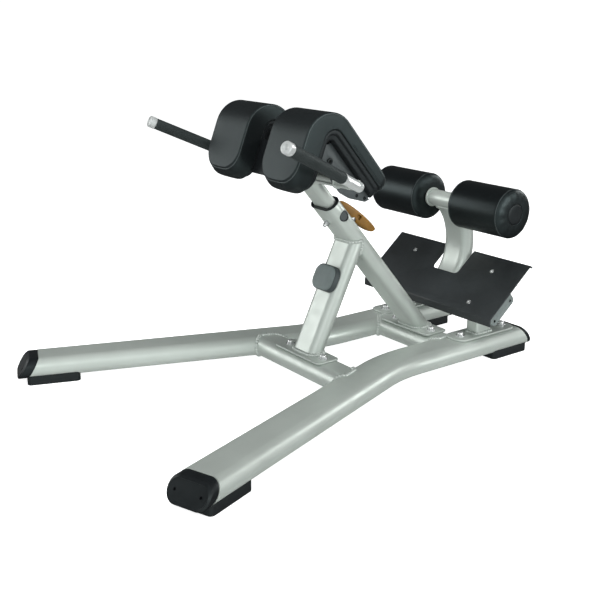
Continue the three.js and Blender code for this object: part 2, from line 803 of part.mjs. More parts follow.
// The front part of each board reaches inwards to the middle and meets the other one there.
function boardTongue(side, front) {
  const back = front + tongue.thickness;
  const outline = roundedOutline([
    corner(onFace(tongue.from, front + 1), 2),
    corner(onFace(tongue.from, back), 2),
    corner(onFace(tongue.to, back), 2),
    corner(onFace(tongue.to, front + 1), 2),
  ], 45);
  const [near, deep] = [gap / 2, pad.inner + 2 * board.inset];
  const [low, high] = side > 0 ? [near, deep] : [-deep, -near];
  return sidePrism(shapeOf(outline), low, high);
}

buildSlideTube();
buildWing();
sides.forEach(([name, side]) => {
  buildBracket(name, side);
  buildBoard(name, side);
  buildPad(name, side);
  buildHandle(name, side);
});

// ---------------------------------------------------------------- footplate

// The tread's side outline: lip down at the front, flat, small lip down at the rear.
function treadOutline() {
  const lipAngle = rad(90 + tread.slope);
  const t = tread.thickness;
  const lipEnd = [Math.cos(lipAngle) * tread.lip, -Math.sin(lipAngle) * tread.lip];
  const lipIn = [lipEnd[0] + t * Math.sin(lipAngle), lipEnd[1] + t * Math.cos(lipAngle)];
  const under = t * Math.tan((Math.PI - lipAngle) / 2);
  return roundedOutline([
    [...lipEnd, 0.8],
    [...lipIn, 0.8],
    [under, -t, 3],
    [tread.length - t, -t, 3],
    [tread.length - t + 2.5, -tread.rearLip, 0.8],
    [tread.length + 2.5, -tread.rearLip, 0.8],
    [tread.length, 0, 6],
    [0, 0, 6],
  ], 30);
}

function buildTread() {
  const { halfWidth, notchHalfWidth, notchBottom } = tread;
  const sheet = sidePrism(shapeOf(treadOutline()), -halfWidth, halfWidth);
  const notchOutline = roundedOutline([
    [-notchHalfWidth, notchBottom, 15],
    [notchHalfWidth, notchBottom, 15],
    [notchHalfWidth, far, 0],
    [-notchHalfWidth, far, 0],
  ], 22.5);
  const notch = prism(shapeOf(notchOutline), 2 * far, -far);
  const screwHoles = [];
  [-tread.screwX, tread.screwX].forEach((x) => {
    [tread.screwLow, tread.screwHigh].forEach((y) => {
      screwHoles.push(rod(tread.screwHole, -far, far, 10).translate(x, y, 0));
    });
  });
  piece("footplate", cut(sheet, notch, ...screwHoles), blackPaint, treadGroup);
}

// A shallow tray, open towards the tread, that carries it; its ends show two holes each.
function trayShell(outset) {
  const { start, end, depth, corner: radius } = tray;
  const top = -tread.thickness - gap;
  return roundedOutline([
    [start + outset, top + (outset ? 5 : 0), 0],
    [start + outset, -depth + outset, radius - outset],
    [end - outset, -depth + outset, radius - outset],
    [end - outset, top + (outset ? 5 : 0), 0],
  ], 22.5);
}

function buildTray() {
  const { halfWidth, start, end, depth, corner: radius, hole } = tray;
  const outer = sidePrism(shapeOf(trayShell(0)), -halfWidth, halfWidth);
  const inner = sidePrism(shapeOf(trayShell(tray.wall)), -halfWidth + tray.wall, halfWidth - tray.wall);
  const holeLines = [start + radius, end - radius].map((y) => {
    const bar = laid(rod(hole, -far, far, 12), axisY, axisZ, axisX);
    return bar.translate(0, y, -depth + radius);
  });
  piece("footplate_tray", cut(outer, inner, ...holeLines), greyPaint, treadGroup);
}

function buildRiser(name, side) {
  const outlineOf = (w, h) => rectangle(w, h, w > 40 ? riser.corner : riser.corner - wall, 30);
  const section = tubeSection(outlineOf, riser.width, riser.length);
  const tube = prism(section, far, plateTop + gap);
  tube.translate(side * leg.halfSpacing, riser.centreY, 0);
  const overTrayFloor = block(-far, far, -far, far, -tray.depth - gap, far);
  const above = carried(overTrayFloor, treadFrame, machineFrame);
  piece(`footplate_riser_${name}`, cut(tube, above), silverPaint);
}

buildTread();
buildTray();
sides.forEach(([name, side]) => buildRiser(name, side));

// ---------------------------------------------------------------- roller arm and rollers

function armStations(from, to) {
  const stations = [];
  for (let k = 0; k <= arm.steps; k += 1) {
    const angle = from + ((to - from) * k) / arm.steps;
    const y = arm.centreY + arm.radius * Math.cos(angle);
    const z = arm.centreZ + arm.radius * Math.sin(angle);
    const tangent = new THREE.Vector3(0, -Math.sin(angle), Math.cos(angle));
    stations.push({ point: new THREE.Vector3(0, y, z), tangent });
  }
  return stations;
}

function buildArm() {
  const section = tubeSection((w, h) => flatOval(w, h), oval.width, oval.height);
  const top = Math.atan2(roller.z - arm.centreZ, roller.y - arm.centreY);
  const bottom = rad(tread.slope + arm.footAngle);
  const tube = sweep(section, armStations(bottom, top));
  const saddle = laid(rod(crossTube.radius + gap, -far, far, 24), axisY, axisZ, axisX);
  saddle.translate(0, roller.y, roller.z);
  const besideTray = block(-far, far, -far, tray.end + gap, -far, far);
  const trayCut = carried(besideTray, treadFrame, machineFrame);
  piece("roller_arm", cut(tube, saddle, trayCut), silverPaint);
}

// Rollers and their shaft are turned about local Z, which is laid along X.
function rollerPiece(name, profile, material, side = 1, segments = 24) {
  const mesh = piece(name, turned(profile, segments), material);
  mesh.position.set(0, roller.y, roller.z);
  mesh.rotation.y = (side * Math.PI) / 2;
}

function ring(inner, outer, from, to) {
  return [[inner, from], [outer, from], [outer, to], [inner, to], [inner, from]];
}

function buildRollerAxle() {
  const bore = shaftRadius + gap;
  const end = crossTube.halfLength;
  rollerPiece("roller_cross_tube", ring(bore, crossTube.radius, -end, end), silverPaint);
  const tip = hub.discStart - 2;
  const shaft = [[0, -tip], [shaftRadius, -tip], [shaftRadius, tip], [0, tip]];
  rollerPiece("roller_shaft", shaft, steel);
  sides.forEach(([name, side]) => {
    const profile = ring(bore, collar.radius, end + gap, end + collar.length);
    rollerPiece(`axle_collar_${name}`, profile, silverPaint, side);
  });
}

function buildRoller(name, side) {
  const { radius, start, seamIn, seamOut, end } = roller;
  const bore = hub.radius + gap;
  const recess = hub.disc + gap;
  const foam = [
    [bore, start],
    [radius * rollerFace.radius, start],
    [radius * rollerFace.shoulder, start + (seamIn - start) * rollerFace.draw],
    [radius, seamIn],
    [radius, seamOut],
    [radius * rollerFace.shoulder, end - (end - seamOut) * rollerFace.draw],
    [radius * rollerFace.radius, end],
    [recess, end],
    [recess, hub.discStart - gap],
    [bore, hub.discStart - gap],
    [bore, start],
  ];
  rollerPiece(`roller_pad_${name}`, foam, vinyl, side);
  const core = [
    [shaftRadius + gap, start],
    [hub.radius, start],
    [hub.radius, hub.discStart],
    [hub.disc, hub.discStart],
    [hub.disc, end - 2],
    [hub.disc - 2, end],
    [0, end],
    [0, hub.discStart - 1],
    [shaftRadius + gap, hub.discStart - 1],
    [shaftRadius + gap, start],
  ];
  rollerPiece(`roller_hub_${name}`, core, blackPlastic, side);
}

buildArm();
buildRollerAxle();
sides.forEach(([name, side]) => buildRoller(name, side));

const romanChair = new THREE.Group();
romanChair.name = "roman_chair";
romanChair.add(machine);
romanChair.updateMatrixWorld(true);

export default romanChair;
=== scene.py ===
"""Roman chair (45 degree back extension bench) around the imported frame, in metres."""
import json
from math import acos, atan2, ceil, copysign, cos, degrees, hypot, pi, radians, sin, sqrt, tan, tanh

import bmesh
import bpy
from mathutils import Matrix, Vector
from mathutils.bvhtree import BVHTree
from mathutils.kdtree import KDTree


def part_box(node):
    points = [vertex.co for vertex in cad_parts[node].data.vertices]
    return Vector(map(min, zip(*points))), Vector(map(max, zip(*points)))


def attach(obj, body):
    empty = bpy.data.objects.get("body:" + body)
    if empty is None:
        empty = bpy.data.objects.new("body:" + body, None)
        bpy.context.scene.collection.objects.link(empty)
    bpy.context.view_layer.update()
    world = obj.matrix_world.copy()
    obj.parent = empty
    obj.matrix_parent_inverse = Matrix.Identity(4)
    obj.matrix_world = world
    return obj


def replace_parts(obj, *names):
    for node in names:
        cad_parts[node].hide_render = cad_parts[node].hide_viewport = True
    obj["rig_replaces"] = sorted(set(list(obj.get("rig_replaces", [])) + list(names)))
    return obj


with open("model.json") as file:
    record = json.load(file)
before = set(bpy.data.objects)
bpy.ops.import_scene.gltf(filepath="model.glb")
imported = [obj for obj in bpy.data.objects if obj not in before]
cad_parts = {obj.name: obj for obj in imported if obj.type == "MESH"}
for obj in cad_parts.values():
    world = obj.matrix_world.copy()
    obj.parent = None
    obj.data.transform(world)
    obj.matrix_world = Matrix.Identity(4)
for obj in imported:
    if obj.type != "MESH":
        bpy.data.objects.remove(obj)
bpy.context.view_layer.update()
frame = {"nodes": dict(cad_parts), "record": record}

scene = bpy.context.scene
SIDES = (("right", 1), ("left", -1))
X, Y, Z = Vector((1, 0, 0)), Vector((0, 1, 0)), Vector((0, 0, 1))


def placed(name, data):
    """A new object in the scene."""
    made = bpy.data.objects.new(name, data)
    scene.collection.objects.link(made)
    return made


# ---- camera

def place_camera():
    """The view of the reference: 53.5 degrees round to the right, 17.1 degrees down."""
    turn, pitch = radians(53.519), radians(17.058)
    ahead = Vector((-sin(turn), cos(turn), 0)) * cos(pitch) - Z * sin(pitch)
    right = Vector((cos(turn), sin(turn), 0))
    up = right.cross(ahead)
    turned = Matrix((right, up, -ahead)).transposed().to_4x4()
    data = bpy.data.cameras.new("camera")
    data.sensor_width = 36
    data.lens = 57.13
    scene.camera = placed("camera", data)
    scene.camera.matrix_world = Matrix.Translation((2.0553, -1.5548, 1.0229)) @ turned


place_camera()


# ---- measures shared with the frame

def middle(node):
    low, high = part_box(node)
    return (Vector(low) + Vector(high)) / 2


GAP = 0.0003  # what the frame leaves open between neighbouring parts
WALL = 0.003
TUBE = (0.100, 0.050)  # section of the main tube, the post and the roller arm
SLIDE = (0.084, 0.034)  # section of the tube that slides in the main tube
BODY = {n: body for body, nodes in frame["record"]["behaviour"]["bodies"].items() for n in nodes}


def slide_axis(name):
    joint = next(j for j in frame["record"]["behaviour"]["joints"] if j["name"] == name)
    return Vector(joint["axis"]).normalized()


UP_TUBE = slide_axis("pad_height_slide")
OFF_TUBE = slide_axis("release_pull_slide")
PLATE_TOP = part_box("base_plate_rear")[1][2]
BEND_Y = 0.156  # the bend of the two legs, from the middle of the footprint
TUBE_BASE = Vector((0, BEND_Y + 0.2535, PLATE_TOP))
POST_BASE = Vector((0, BEND_Y - 0.1605, PLATE_TOP))
POST_SLOPE = radians(64.2)
POST_UP = Vector((0, cos(POST_SLOPE), sin(POST_SLOPE)))
POST_FRONT = Vector((0, -sin(POST_SLOPE), cos(POST_SLOPE)))
LEG_X = middle("side_plate_right").x
LEG_Z = middle("leg_right").z
SPLAY = radians(19.9)
LEG_FRONT, LEG_REAR, LEG_SLANT = 0.856, 0.515, 0.036
ROLLER = middle("roller_cross_tube")
TREAD_SLOPE = radians(40.1)
TREAD_UP = Vector((0, cos(TREAD_SLOPE), sin(TREAD_SLOPE)))
TREAD_OFF = Vector((0, -sin(TREAD_SLOPE), cos(TREAD_SLOPE)))
TREAD_EDGE = Vector((0, BEND_Y + 0.2848, 0.1602))


def on_tube(x, up, out):
    return TUBE_BASE + X * x + UP_TUBE * up + OFF_TUBE * out


def on_post(x, up, out):
    return POST_BASE + X * x + POST_UP * up + POST_FRONT * out


def on_tread(x, up, out):
    return TREAD_EDGE + X * x + TREAD_UP * up + TREAD_OFF * out


# ---- materials

def set_stops(ramp, stops):
    while len(ramp.elements) < len(stops):
        ramp.elements.new(0.5)
    for element, (position, color) in zip(ramp.elements, stops):
        element.position = position
        element.color = (*color, 1)


class Paint:
    """A Principled material with helpers for textures in object space."""

    def __init__(self, name, color, roughness, metallic=0.0, **sockets):
        self.material = bpy.data.materials.new(name)
        self.material.use_nodes = True
        self.nodes = self.material.node_tree.nodes
        self.links = self.material.node_tree.links
        self.shader = self.nodes["Principled BSDF"]
        self.place = self.nodes.new("ShaderNodeTexCoord").outputs["Object"]
        self.shader.inputs["Base Color"].default_value = (*color, 1)
        self.shader.inputs["Roughness"].default_value = roughness
        self.shader.inputs["Metallic"].default_value = metallic
        for socket, value in sockets.items():
            self.shader.inputs[socket.replace("_", " ")].default_value = value

    def node(self, kind, **values):
        node = self.nodes.new(kind)
        for key, value in values.items():
            node.inputs[key.replace("_", " ")].default_value = value
        return node

    def noise(self, scale, detail=3.0, stretch=None):
        node = self.node("ShaderNodeTexNoise", Scale=scale, Detail=detail)
        source = self.place
        if stretch:
            mapping = self.node("ShaderNodeMapping", Scale=stretch)
            self.links.new(self.place, mapping.inputs["Vector"])
            source = mapping.outputs["Vector"]
        self.links.new(source, node.inputs["Vector"])
        return node.outputs["Fac"]

    def grain(self, scale):
        node = self.node("ShaderNodeTexVoronoi", Scale=scale)
        self.links.new(self.place, node.inputs["Vector"])
        return node.outputs["Distance"]

    def ramp(self, source, stops):
        node = self.nodes.new("ShaderNodeValToRGB")
        set_stops(node.color_ramp, stops)
        self.links.new(source, node.inputs["Fac"])
        return node.outputs["Color"]

    def span(self, source, low, high):
        """Spreads a noise, which lies mostly between 0.3 and 0.7, from low to high."""
        node = self.node("ShaderNodeMapRange", From_Min=0.3, From_Max=0.7, To_Min=low, To_Max=high)
        self.links.new(source, node.inputs["Value"])
        return node.outputs["Result"]

    def color(self, source):
        self.links.new(source, self.shader.inputs["Base Color"])

    def roughness(self, source):
        self.links.new(source, self.shader.inputs["Roughness"])

    def bump(self, source, strength, distance, under=None):
        node = self.node("ShaderNodeBump", Strength=strength, Distance=distance)
        self.links.new(source, node.inputs["Height"])
        if under is not None:
            self.links.new(under, node.inputs["Normal"])
        self.links.new(node.outputs["Normal"], self.shader.inputs["Normal"])
        return node.outputs["Normal"]


def shade(color, factor):
    return tuple(channel * factor for channel in color)


def clouded(paint, source, color, low, high):
    """Lets the colour vary between two shades of itself."""
    paint.color(paint.ramp(source, ((0.3, shade(color, low)), (0.7, shade(color, high)))))


def powder_coat(name, color, roughness, metallic, flake=0.06, peel=0.25):
    """Powder coat: orange peel, a fine fleck and a little clouding of the colour."""
    paint = Paint(name, color, roughness, metallic)
    cloud = paint.noise(9, 4)
    fleck = paint.noise(1800, 1)
    mixed = paint.node("ShaderNodeMath")
    mixed.operation = "MULTIPLY_ADD"
    paint.links.new(fleck, mixed.inputs[0])
    mixed.inputs[1].default_value = 0.6
    paint.links.new(cloud, mixed.inputs[2])
    stops = ((0.55, shade(color, 1 - flake)), (0.8, color), (1.0, shade(color, 1 + flake)))
    paint.color(paint.ramp(mixed.outputs["Value"], stops))
    paint.roughness(paint.span(paint.noise(30, 5), roughness - 0.05, roughness + 0.07))
    paint.bump(paint.noise(900, 2), peel, 0.0003)
    return paint.material


def vinyl(name, color, roughness):
    """Black upholstery vinyl: pebbled grain with creases, and soft worn patches."""
    paint = Paint(name, color, roughness, Specular_IOR_Level=0.5)
    paint.shader.inputs["Specular Tint"].default_value = (0.78, 0.99, 1.0, 1)
    patches = paint.noise(11, 4)
    clouded(paint, patches, color, 0.9, 1.15)
    paint.roughness(paint.span(patches, roughness - 0.015, roughness + 0.02))
    pebble = paint.bump(paint.grain(900), 0.25, 0.0004)
    paint.bump(paint.noise(160, 6), 0.12, 0.0008, pebble)
    return paint.material


def moulded(name, color, roughness):
    """Moulded plastic or rubber with a spark-eroded skin."""
    paint = Paint(name, color, roughness, Specular_IOR_Level=0.35)
    paint.shader.inputs["Specular Tint"].default_value = (0.88, 1.0, 1.0, 1)
    cloud = paint.noise(25, 4)
    clouded(paint, cloud, color, 0.85, 1.2)
    paint.roughness(paint.span(cloud, roughness - 0.06, roughness + 0.08))
    paint.bump(paint.noise(1560, 2), 0.2, 0.0003)
    return paint.material


def turned_metal(name, color, roughness, metallic):
    """Bare metal with fine brushing lines along one direction."""
    paint = Paint(name, color, roughness, metallic)
    lines = paint.noise(500, 2, (0.1, 1, 1))
    paint.color(paint.ramp(lines, ((0.35, shade(color, 0.98)), (0.65, color))))
    paint.roughness(paint.span(lines, roughness * 0.95, roughness * 1.1))
    paint.bump(lines, 0.006, 0.0002)
    return paint.material


SILVER = powder_coat("silver_powder_coat", (0.505, 0.55, 0.515), 0.385, 0.54, 0.03, 0.06)
WELDED = powder_coat("silver_weld_coat", (0.52, 0.56, 0.53), 0.36, 0.6, 0.06, 0.2)
GREY = powder_coat("grey_powder_coat", (0.060, 0.071, 0.073), 0.5, 0.25)
TRAY_GREY = powder_coat("tray_powder_coat", (0.175, 0.205, 0.20), 0.5, 0.3)
TREAD_BLACK = powder_coat("tread_powder_coat", (0.019, 0.0225, 0.024), 0.50, 0.0, 0.3, 0.6)
ALUMINIUM = turned_metal("satin_aluminium", (0.64, 0.66, 0.655), 0.32, 0.6)
CHROME = turned_metal("bright_zinc", (0.78, 0.79, 0.79), 0.2, 0.8)
STEEL = turned_metal("bare_steel", (0.48, 0.49, 0.50), 0.35, 0.9)
VINYL = vinyl("black_vinyl", (0.0050, 0.0058, 0.0064), 0.46)
ROLLER_VINYL = vinyl("roller_vinyl", (0.0024, 0.0028, 0.0033), 0.37)
# Its colour, much lighter than the vinyl's, paints the highlight along the pads' welts and the rollers'
# seams.
WELT_PAINTED_HIGHLIGHT = vinyl("welt_painted_highlight_vinyl", (0.045, 0.052, 0.053), 0.36)
SEAM = vinyl("seam_vinyl", (0.0050, 0.0058, 0.0064), 0.36)
PLASTIC = moulded("black_plastic", (0.0055, 0.0065, 0.0075), 0.38)
BOARD = moulded("board_plastic", (0.0065, 0.0075, 0.0085), 0.45)
RUBBER = moulded("foot_rubber", (0.0065, 0.0075, 0.0085), 0.55)
GRIP = moulded("grip_rubber", (0.018, 0.022, 0.022), 0.55)
BADGE = moulded("badge_plastic", (0.125, 0.15, 0.148), 0.48)
BADGE_DARK = moulded("badge_body_plastic", (0.04, 0.047, 0.048), 0.45)
OCHRE = moulded("ochre_plastic", (0.20, 0.098, 0.016), 0.42)


# ---- mesh helpers

def mesh_of(name, shape):
    verts, faces = shape
    mesh = bpy.data.meshes.new(name)
    mesh.from_pydata([tuple(v) for v in verts], [], faces)
    return mesh


def build(name, shape, material, node, instead=True, sharp=35):
    """A piece, shaded smooth up to an angle, that rides with a CAD node and may stand for it."""
    piece = placed(name, mesh_of(name, shape))
    piece.data.materials.append(material)
    outward(piece)
    smooth(piece, sharp)
    join_in(piece, node, instead)
    return piece


def join_in(piece, node, instead):
    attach(piece, BODY[node])
    if instead:
        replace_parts(piece, node)


def outward(piece):
    shape = bmesh.new()
    shape.from_mesh(piece.data)
    bmesh.ops.recalc_face_normals(shape, faces=shape.faces)
    shape.to_mesh(piece.data)
    shape.free()


def smooth(piece, sharp):
    piece.data.shade_smooth()
    piece.data.set_sharp_from_angle(angle=radians(sharp))


def apply(piece):
    """Replaces a piece's mesh by what its modifiers make of it."""
    graph = bpy.context.evaluated_depsgraph_get()
    mesh = bpy.data.meshes.new_from_object(piece.evaluated_get(graph))
    piece.modifiers.clear()
    piece.data = mesh


def bevel(piece, width, segments=2, angle=40, sharp=35):
    modifier = piece.modifiers.new("bevel", "BEVEL")
    modifier.width = width
    modifier.segments = segments
    modifier.limit_method = "ANGLE"
    modifier.angle_limit = radians(angle)
    apply(piece)
    smooth(piece, sharp)
    return piece


def cut(piece, *shapes, sharp=35):
    """Takes shapes, each with its vertices and faces, away from a piece."""
    tools = []
    for shape in shapes:
        tool = placed("tool", mesh_of("tool", shape))
        outward(tool)
        tools.append(tool)
        modifier = piece.modifiers.new("cut", "BOOLEAN")
        modifier.operation = "DIFFERENCE"
        modifier.solver = "EXACT"
        modifier.object = tool
    apply(piece)
    for tool in tools:
        bpy.data.objects.remove(tool)
    smooth(piece, sharp)
    return piece


def loft(rings, wrap=False, caps=True):
    """Faces between rings of equal count: wrapped into a ring of rings, or capped at both ends."""
    count = len(rings[0])
    verts = [point for ring in rings for point in ring]
    faces = []
    pairs = len(rings) if wrap else len(rings) - 1
    for i in range(pairs):
        j = (i + 1) % len(rings)
        for k in range(count):
            m = (k + 1) % count
            faces.append((i * count + k, i * count + m, j * count + m, j * count + k))
    if caps and not wrap:
        faces.append(tuple(range(count)))
        faces.append(tuple(range((len(rings) - 1) * count, len(rings) * count)))
    return verts, faces


def rounded(corners, step=6):
    """A closed outline through corners (x, y, radius), each corner an arc."""
    points = []
    count = len(corners)
    for i, (x, y, radius) in enumerate(corners):
        corner = Vector((x, y))
        back = (Vector(corners[i - 1][:2]) - corner).normalized()
        ahead = (Vector(corners[(i + 1) % count][:2]) - corner).normalized()
        opening = acos(max(-1, min(1, back.dot(ahead))))
        turn = pi - opening
        if radius <= 0 or turn < 0.001:
            points.append(corner)
            continue
        centre = corner + (back + ahead).normalized() * (radius / sin(opening / 2))
        arm = corner + back * (radius / tan(opening / 2)) - centre
        sense = -1 if back.cross(ahead) > 0 else 1
        steps = max(2, ceil(degrees(turn) / step))
        for k in range(steps + 1):
            points.append(centre + rotated(arm, sense * turn * k / steps))
    return points


def rotated(arm, angle):
    c, s = cos(angle), sin(angle)
    return Vector((arm.x * c - arm.y * s, arm.x * s + arm.y * c))


def tube_walls(width, height):
    """The outer and the inner outline of a flat-oval tube."""
    return flat_oval(width, height), flat_oval(width - 2 * WALL, height - 2 * WALL)


def rectangle(width, height, radius, step=6):
    x, y = width / 2, height / 2
    return rounded([(x, y, radius), (-x, y, radius), (-x, -y, radius), (x, -y, radius)], step)


def flat_oval(width, height, step=6):
    return rectangle(width, height, min(width, height) / 2 - 0.00001, step)


def circle(radius, count=48):
    return [rotated(Vector((radius, 0)), 2 * pi * k / count) for k in range(count)]


def laid(outline, origin, across, along):
    """An outline's points in space: its x along one direction and its y along another."""
    return [origin + across * p.x + along * p.y for p in outline]


def prism(outline, origin, across, along, depth):
    """Vertices and faces of an outline pushed out square to its plane."""
    base = laid(outline, origin, across, along)
    push = across.cross(along).normalized() * depth
    return loft([base, [p + push for p in base]])


def frame_of(axis):
    """Two directions square to an axis."""
    side = axis.cross(Z) if abs(axis.z) < 0.9 else axis.cross(Y)
    side.normalize()
    return side, axis.cross(side).normalized()


def rod(radius, start, end, count=48):
    axis = (end - start).normalized()
    side, other = frame_of(axis)
    return prism(circle(radius, count), start, side, other, (end - start).length)


def turned(profile, origin, axis, count=64):
    """A lathe piece from (radius, height) points along an axis; radius 0 closes it."""
    side, other = frame_of(axis)
    rings = [laid(circle(max(r, 0.00001), count), origin + axis * h, side, other) for r, h in profile]
    closed = profile[0] == profile[-1]
    return loft(rings[:-1], wrap=True) if closed else loft(rings)


def arc(cx, cy, radius, start, end, steps=8):
    """Points (radius, height) of an arc in a lathe profile, angles in degrees."""
    turns = [radians(start + (end - start) * k / steps) for k in range(steps + 1)]
    return [(cx + radius * cos(a), cy + radius * sin(a)) for a in turns]


def tree_of(piece):
    return BVHTree.FromPolygons([v.co for v in piece.data.vertices],
                                [tuple(p.vertices) for p in piece.data.polygons])


def coped(tree, ring, direction, gap=GAP):
    """A ring carried along a direction until each point meets the target."""
    moved = []
    for point in ring:
        hit = tree.ray_cast(point, direction, 2.0)[0]
        moved.append((hit if hit is not None else point) - direction * gap)
    return moved


def resampled(path, pitch, closed=True):
    """Evenly spaced points on a polyline."""
    points = list(path) + ([path[0]] if closed else [])
    lengths = [(b - a).length for a, b in zip(points, points[1:])]
    total = sum(lengths)
    count = max(8, round(total / pitch))
    spaced, leg, run = [], 0, 0.0
    for k in range(count if closed else count + 1):
        target = total * k / count
        while leg < len(lengths) - 1 and run + lengths[leg] < target:
            run += lengths[leg]
            leg += 1
        part = (target - run) / max(lengths[leg], 1e-9)
        spaced.append(points[leg].lerp(points[leg + 1], min(1, max(0, part))))
    return spaced


def bead(path, radius, closed=True, ripple=0.0, wave=0.0035, sides=10, pitch=0.0012):
    """A round bead along a path, with the ripple that a weld has along its length."""
    points = resampled(path, pitch, closed)
    count = len(points)
    rings = []
    for i, point in enumerate(points):
        ahead = points[(i + 1) % count] if closed else points[min(i + 1, count - 1)]
        behind = points[i - 1] if closed else points[max(i - 1, 0)]
        tangent = (ahead - behind).normalized()
        cross = frame_of(tangent) if i == 0 else carried(cross, tangent)
        wide = radius * (1 + ripple * abs(sin(pi * i * pitch / wave)))
        rings.append(laid(circle(wide, sides), point, *cross))
    return loft(rings, wrap=closed)


def carried(old, tangent):
    """The last cross directions, turned as little as possible to stay square to a tangent."""
    side = (old[0] - tangent * old[0].dot(tangent)).normalized()
    return side, tangent.cross(side).normalized()


def weld(name, path, node, radius=0.0040):
    """A rippled bead where two tubes meet."""
    build(name, bead(path, radius, ripple=0.60, wave=0.008), WELDED, node, False, 60)


# ---- base

LEG_W, LEG_H = 0.120, 0.060


def leg_stations(side):
    """Centre points and headings of a leg, from its front end to its rear end."""
    radius = 0.45  # of the bend
    cut_back = radius * tan(SPLAY / 2)
    ahead = Vector((side * sin(SPLAY), -cos(SPLAY), 0))
    bend = Vector((side * LEG_X, BEND_Y, LEG_Z))
    stations = [(bend + ahead * LEG_FRONT * share, -ahead) for share in (1, 0.5)]
    steps = 24
    for k in range(steps + 1):
        angle = SPLAY * (1 - k / steps)
        x = side * (LEG_X + radius - radius * cos(angle))
        y = BEND_Y + cut_back - radius * sin(angle)
        heading = Vector((-side * sin(angle), cos(angle), 0))
        stations.append((Vector((x, y, LEG_Z)), heading))
    stations.append((Vector((side * LEG_X, BEND_Y + LEG_REAR, LEG_Z)), Y.copy()))
    return stations


def slanted(ring, heading, sign):
    """Leans an end: its bottom reaches further out than its top."""
    lean = LEG_SLANT / LEG_H
    return [p + heading * (sign * lean * (p.z - LEG_Z)) for p in ring]


def leg_rings(side, width, height):
    rings = []
    stations = leg_stations(side)
    for i, (point, heading) in enumerate(stations):
        across = heading.cross(Z)
        ring = laid(flat_oval(width, height), point, across, Z)
        if i == 0:
            ring = slanted(ring, heading, 1)
        if i == len(stations) - 1:
            ring = slanted(ring, heading, -1)
        rings.append(ring)
    return rings


def make_leg(name, side):
    outer = leg_rings(side, LEG_W, LEG_H)
    inner = leg_rings(side, LEG_W - 2 * WALL, LEG_H - 2 * WALL)
    shape = loft(outer + inner[::-1], wrap=True)
    return build(f"leg_{name}_tube", shape, SILVER, f"leg_{name}", sharp=50)


def end_of_leg(side, rear):
    """The bend's centre, the direction out along the leg and the direction across it."""
    out = Y.copy() if rear else Vector((side * sin(SPLAY), -cos(SPLAY), 0))
    return Vector((side * LEG_X, BEND_Y, LEG_Z)), out, out.cross(Z)


def make_cap(name, side, rear):
    """A moulded plug cap with a shoulder, a rounded rim and two pin holes in its face."""
    origin, out, across = end_of_leg(side, rear)
    reach = LEG_REAR if rear else LEG_FRONT
    depth = 0.019 if rear else 0.031
    wide, rim, lip = 0.0062, 0.0028, 0.0009
    profile = [(0.0022, 0.0003), (0.0008, 0.0022), (0.0006, 0.005)]
    profile += [(0.0006 + rim - h, depth - wide + r) for h, r in arc(0, 0, rim, 0, 62, 6)]
    profile += [(wide - lip + 0.0008 - h, depth - lip + r) for h, r in arc(0, 0, lip, 50, 90, 5)]
    profile += [(wide + 0.0012, depth - 0.0001), (wide + 0.0016, depth - 0.0007)]
    rings = []
    for inset, along in profile:
        outline = flat_oval(LEG_W - 2 * inset, LEG_H - 2 * inset)
        rings.append(slanted(laid(outline, origin + out * (reach + along), across, Z), out, -1))
    label = f"end_cap_{'rear' if rear else 'front'}_{name}"
    cap = build(f"{label}_shell", loft(rings), PLASTIC, label, sharp=30)
    tools = []
    for k in (-1, 1):
        spot = origin + out * (reach + depth) + across * (0.036 * k)
        tools.append(rod(0.0034, spot - out * 0.006, spot + out * 0.02, 24))
    return cut(cap, *tools, sharp=30)


def make_foot(name, side, rear):
    """A rubber saddle block that hugs the underside of the leg."""
    origin, out, across = end_of_leg(side, rear)
    end, length, height = 0.524 if rear else 0.875, 0.148, 0.027
    outline = rectangle(0.109, length, 0.012, 10)
    base = origin + out * (end - length / 2)
    base.z = 0
    label = f"foot_{'rear' if rear else 'front'}_{name}"
    shape = loft([laid(outline, base + Z * up, across, out) for up in (0, height)])
    foot = build(f"{label}_block", shape, RUBBER, label, sharp=30)
    ring = laid(flat_oval(LEG_W + 2 * GAP, LEG_H + 2 * GAP), origin + out * (end - 0.3), across, Z)
    cut(foot, loft([ring, [p + out * 0.5 for p in ring]]))
    return bevel(foot, 0.0026, 3, 35)


def make_crossbar(label, trees):
    """A flat-oval bar whose two ends are coped to the legs, with a weld bead round each."""
    centre = middle(label)
    ring, inner = (laid(wall, Vector((0, centre.y, centre.z)), Y, Z) for wall in tube_walls(0.100, 0.060))
    right, left = coped(trees[1], ring, X), coped(trees[-1], ring, -X)
    rings = [left, ring, right, coped(trees[1], inner, X, 0.004), coped(trees[-1], inner, -X, 0.004)]
    build(f"{label}_tube", loft(rings, wrap=True), SILVER, label, sharp=50)
    weld(f"{label}_weld_right", right, label)
    weld(f"{label}_weld_left", left, label)


def make_plate(label, radius):
    low, high = (Vector(corner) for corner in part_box(label))
    centre = (low + high) / 2
    outline = rectangle(high.x - low.x, high.y - low.y, radius)
    base = Vector((centre.x, centre.y, low.z))
    plate = build(f"{label}_sheet", prism(outline, base, X, Y, high.z - low.z), SILVER, label)
    return bevel(plate, 0.0016, 3, 40, 30)


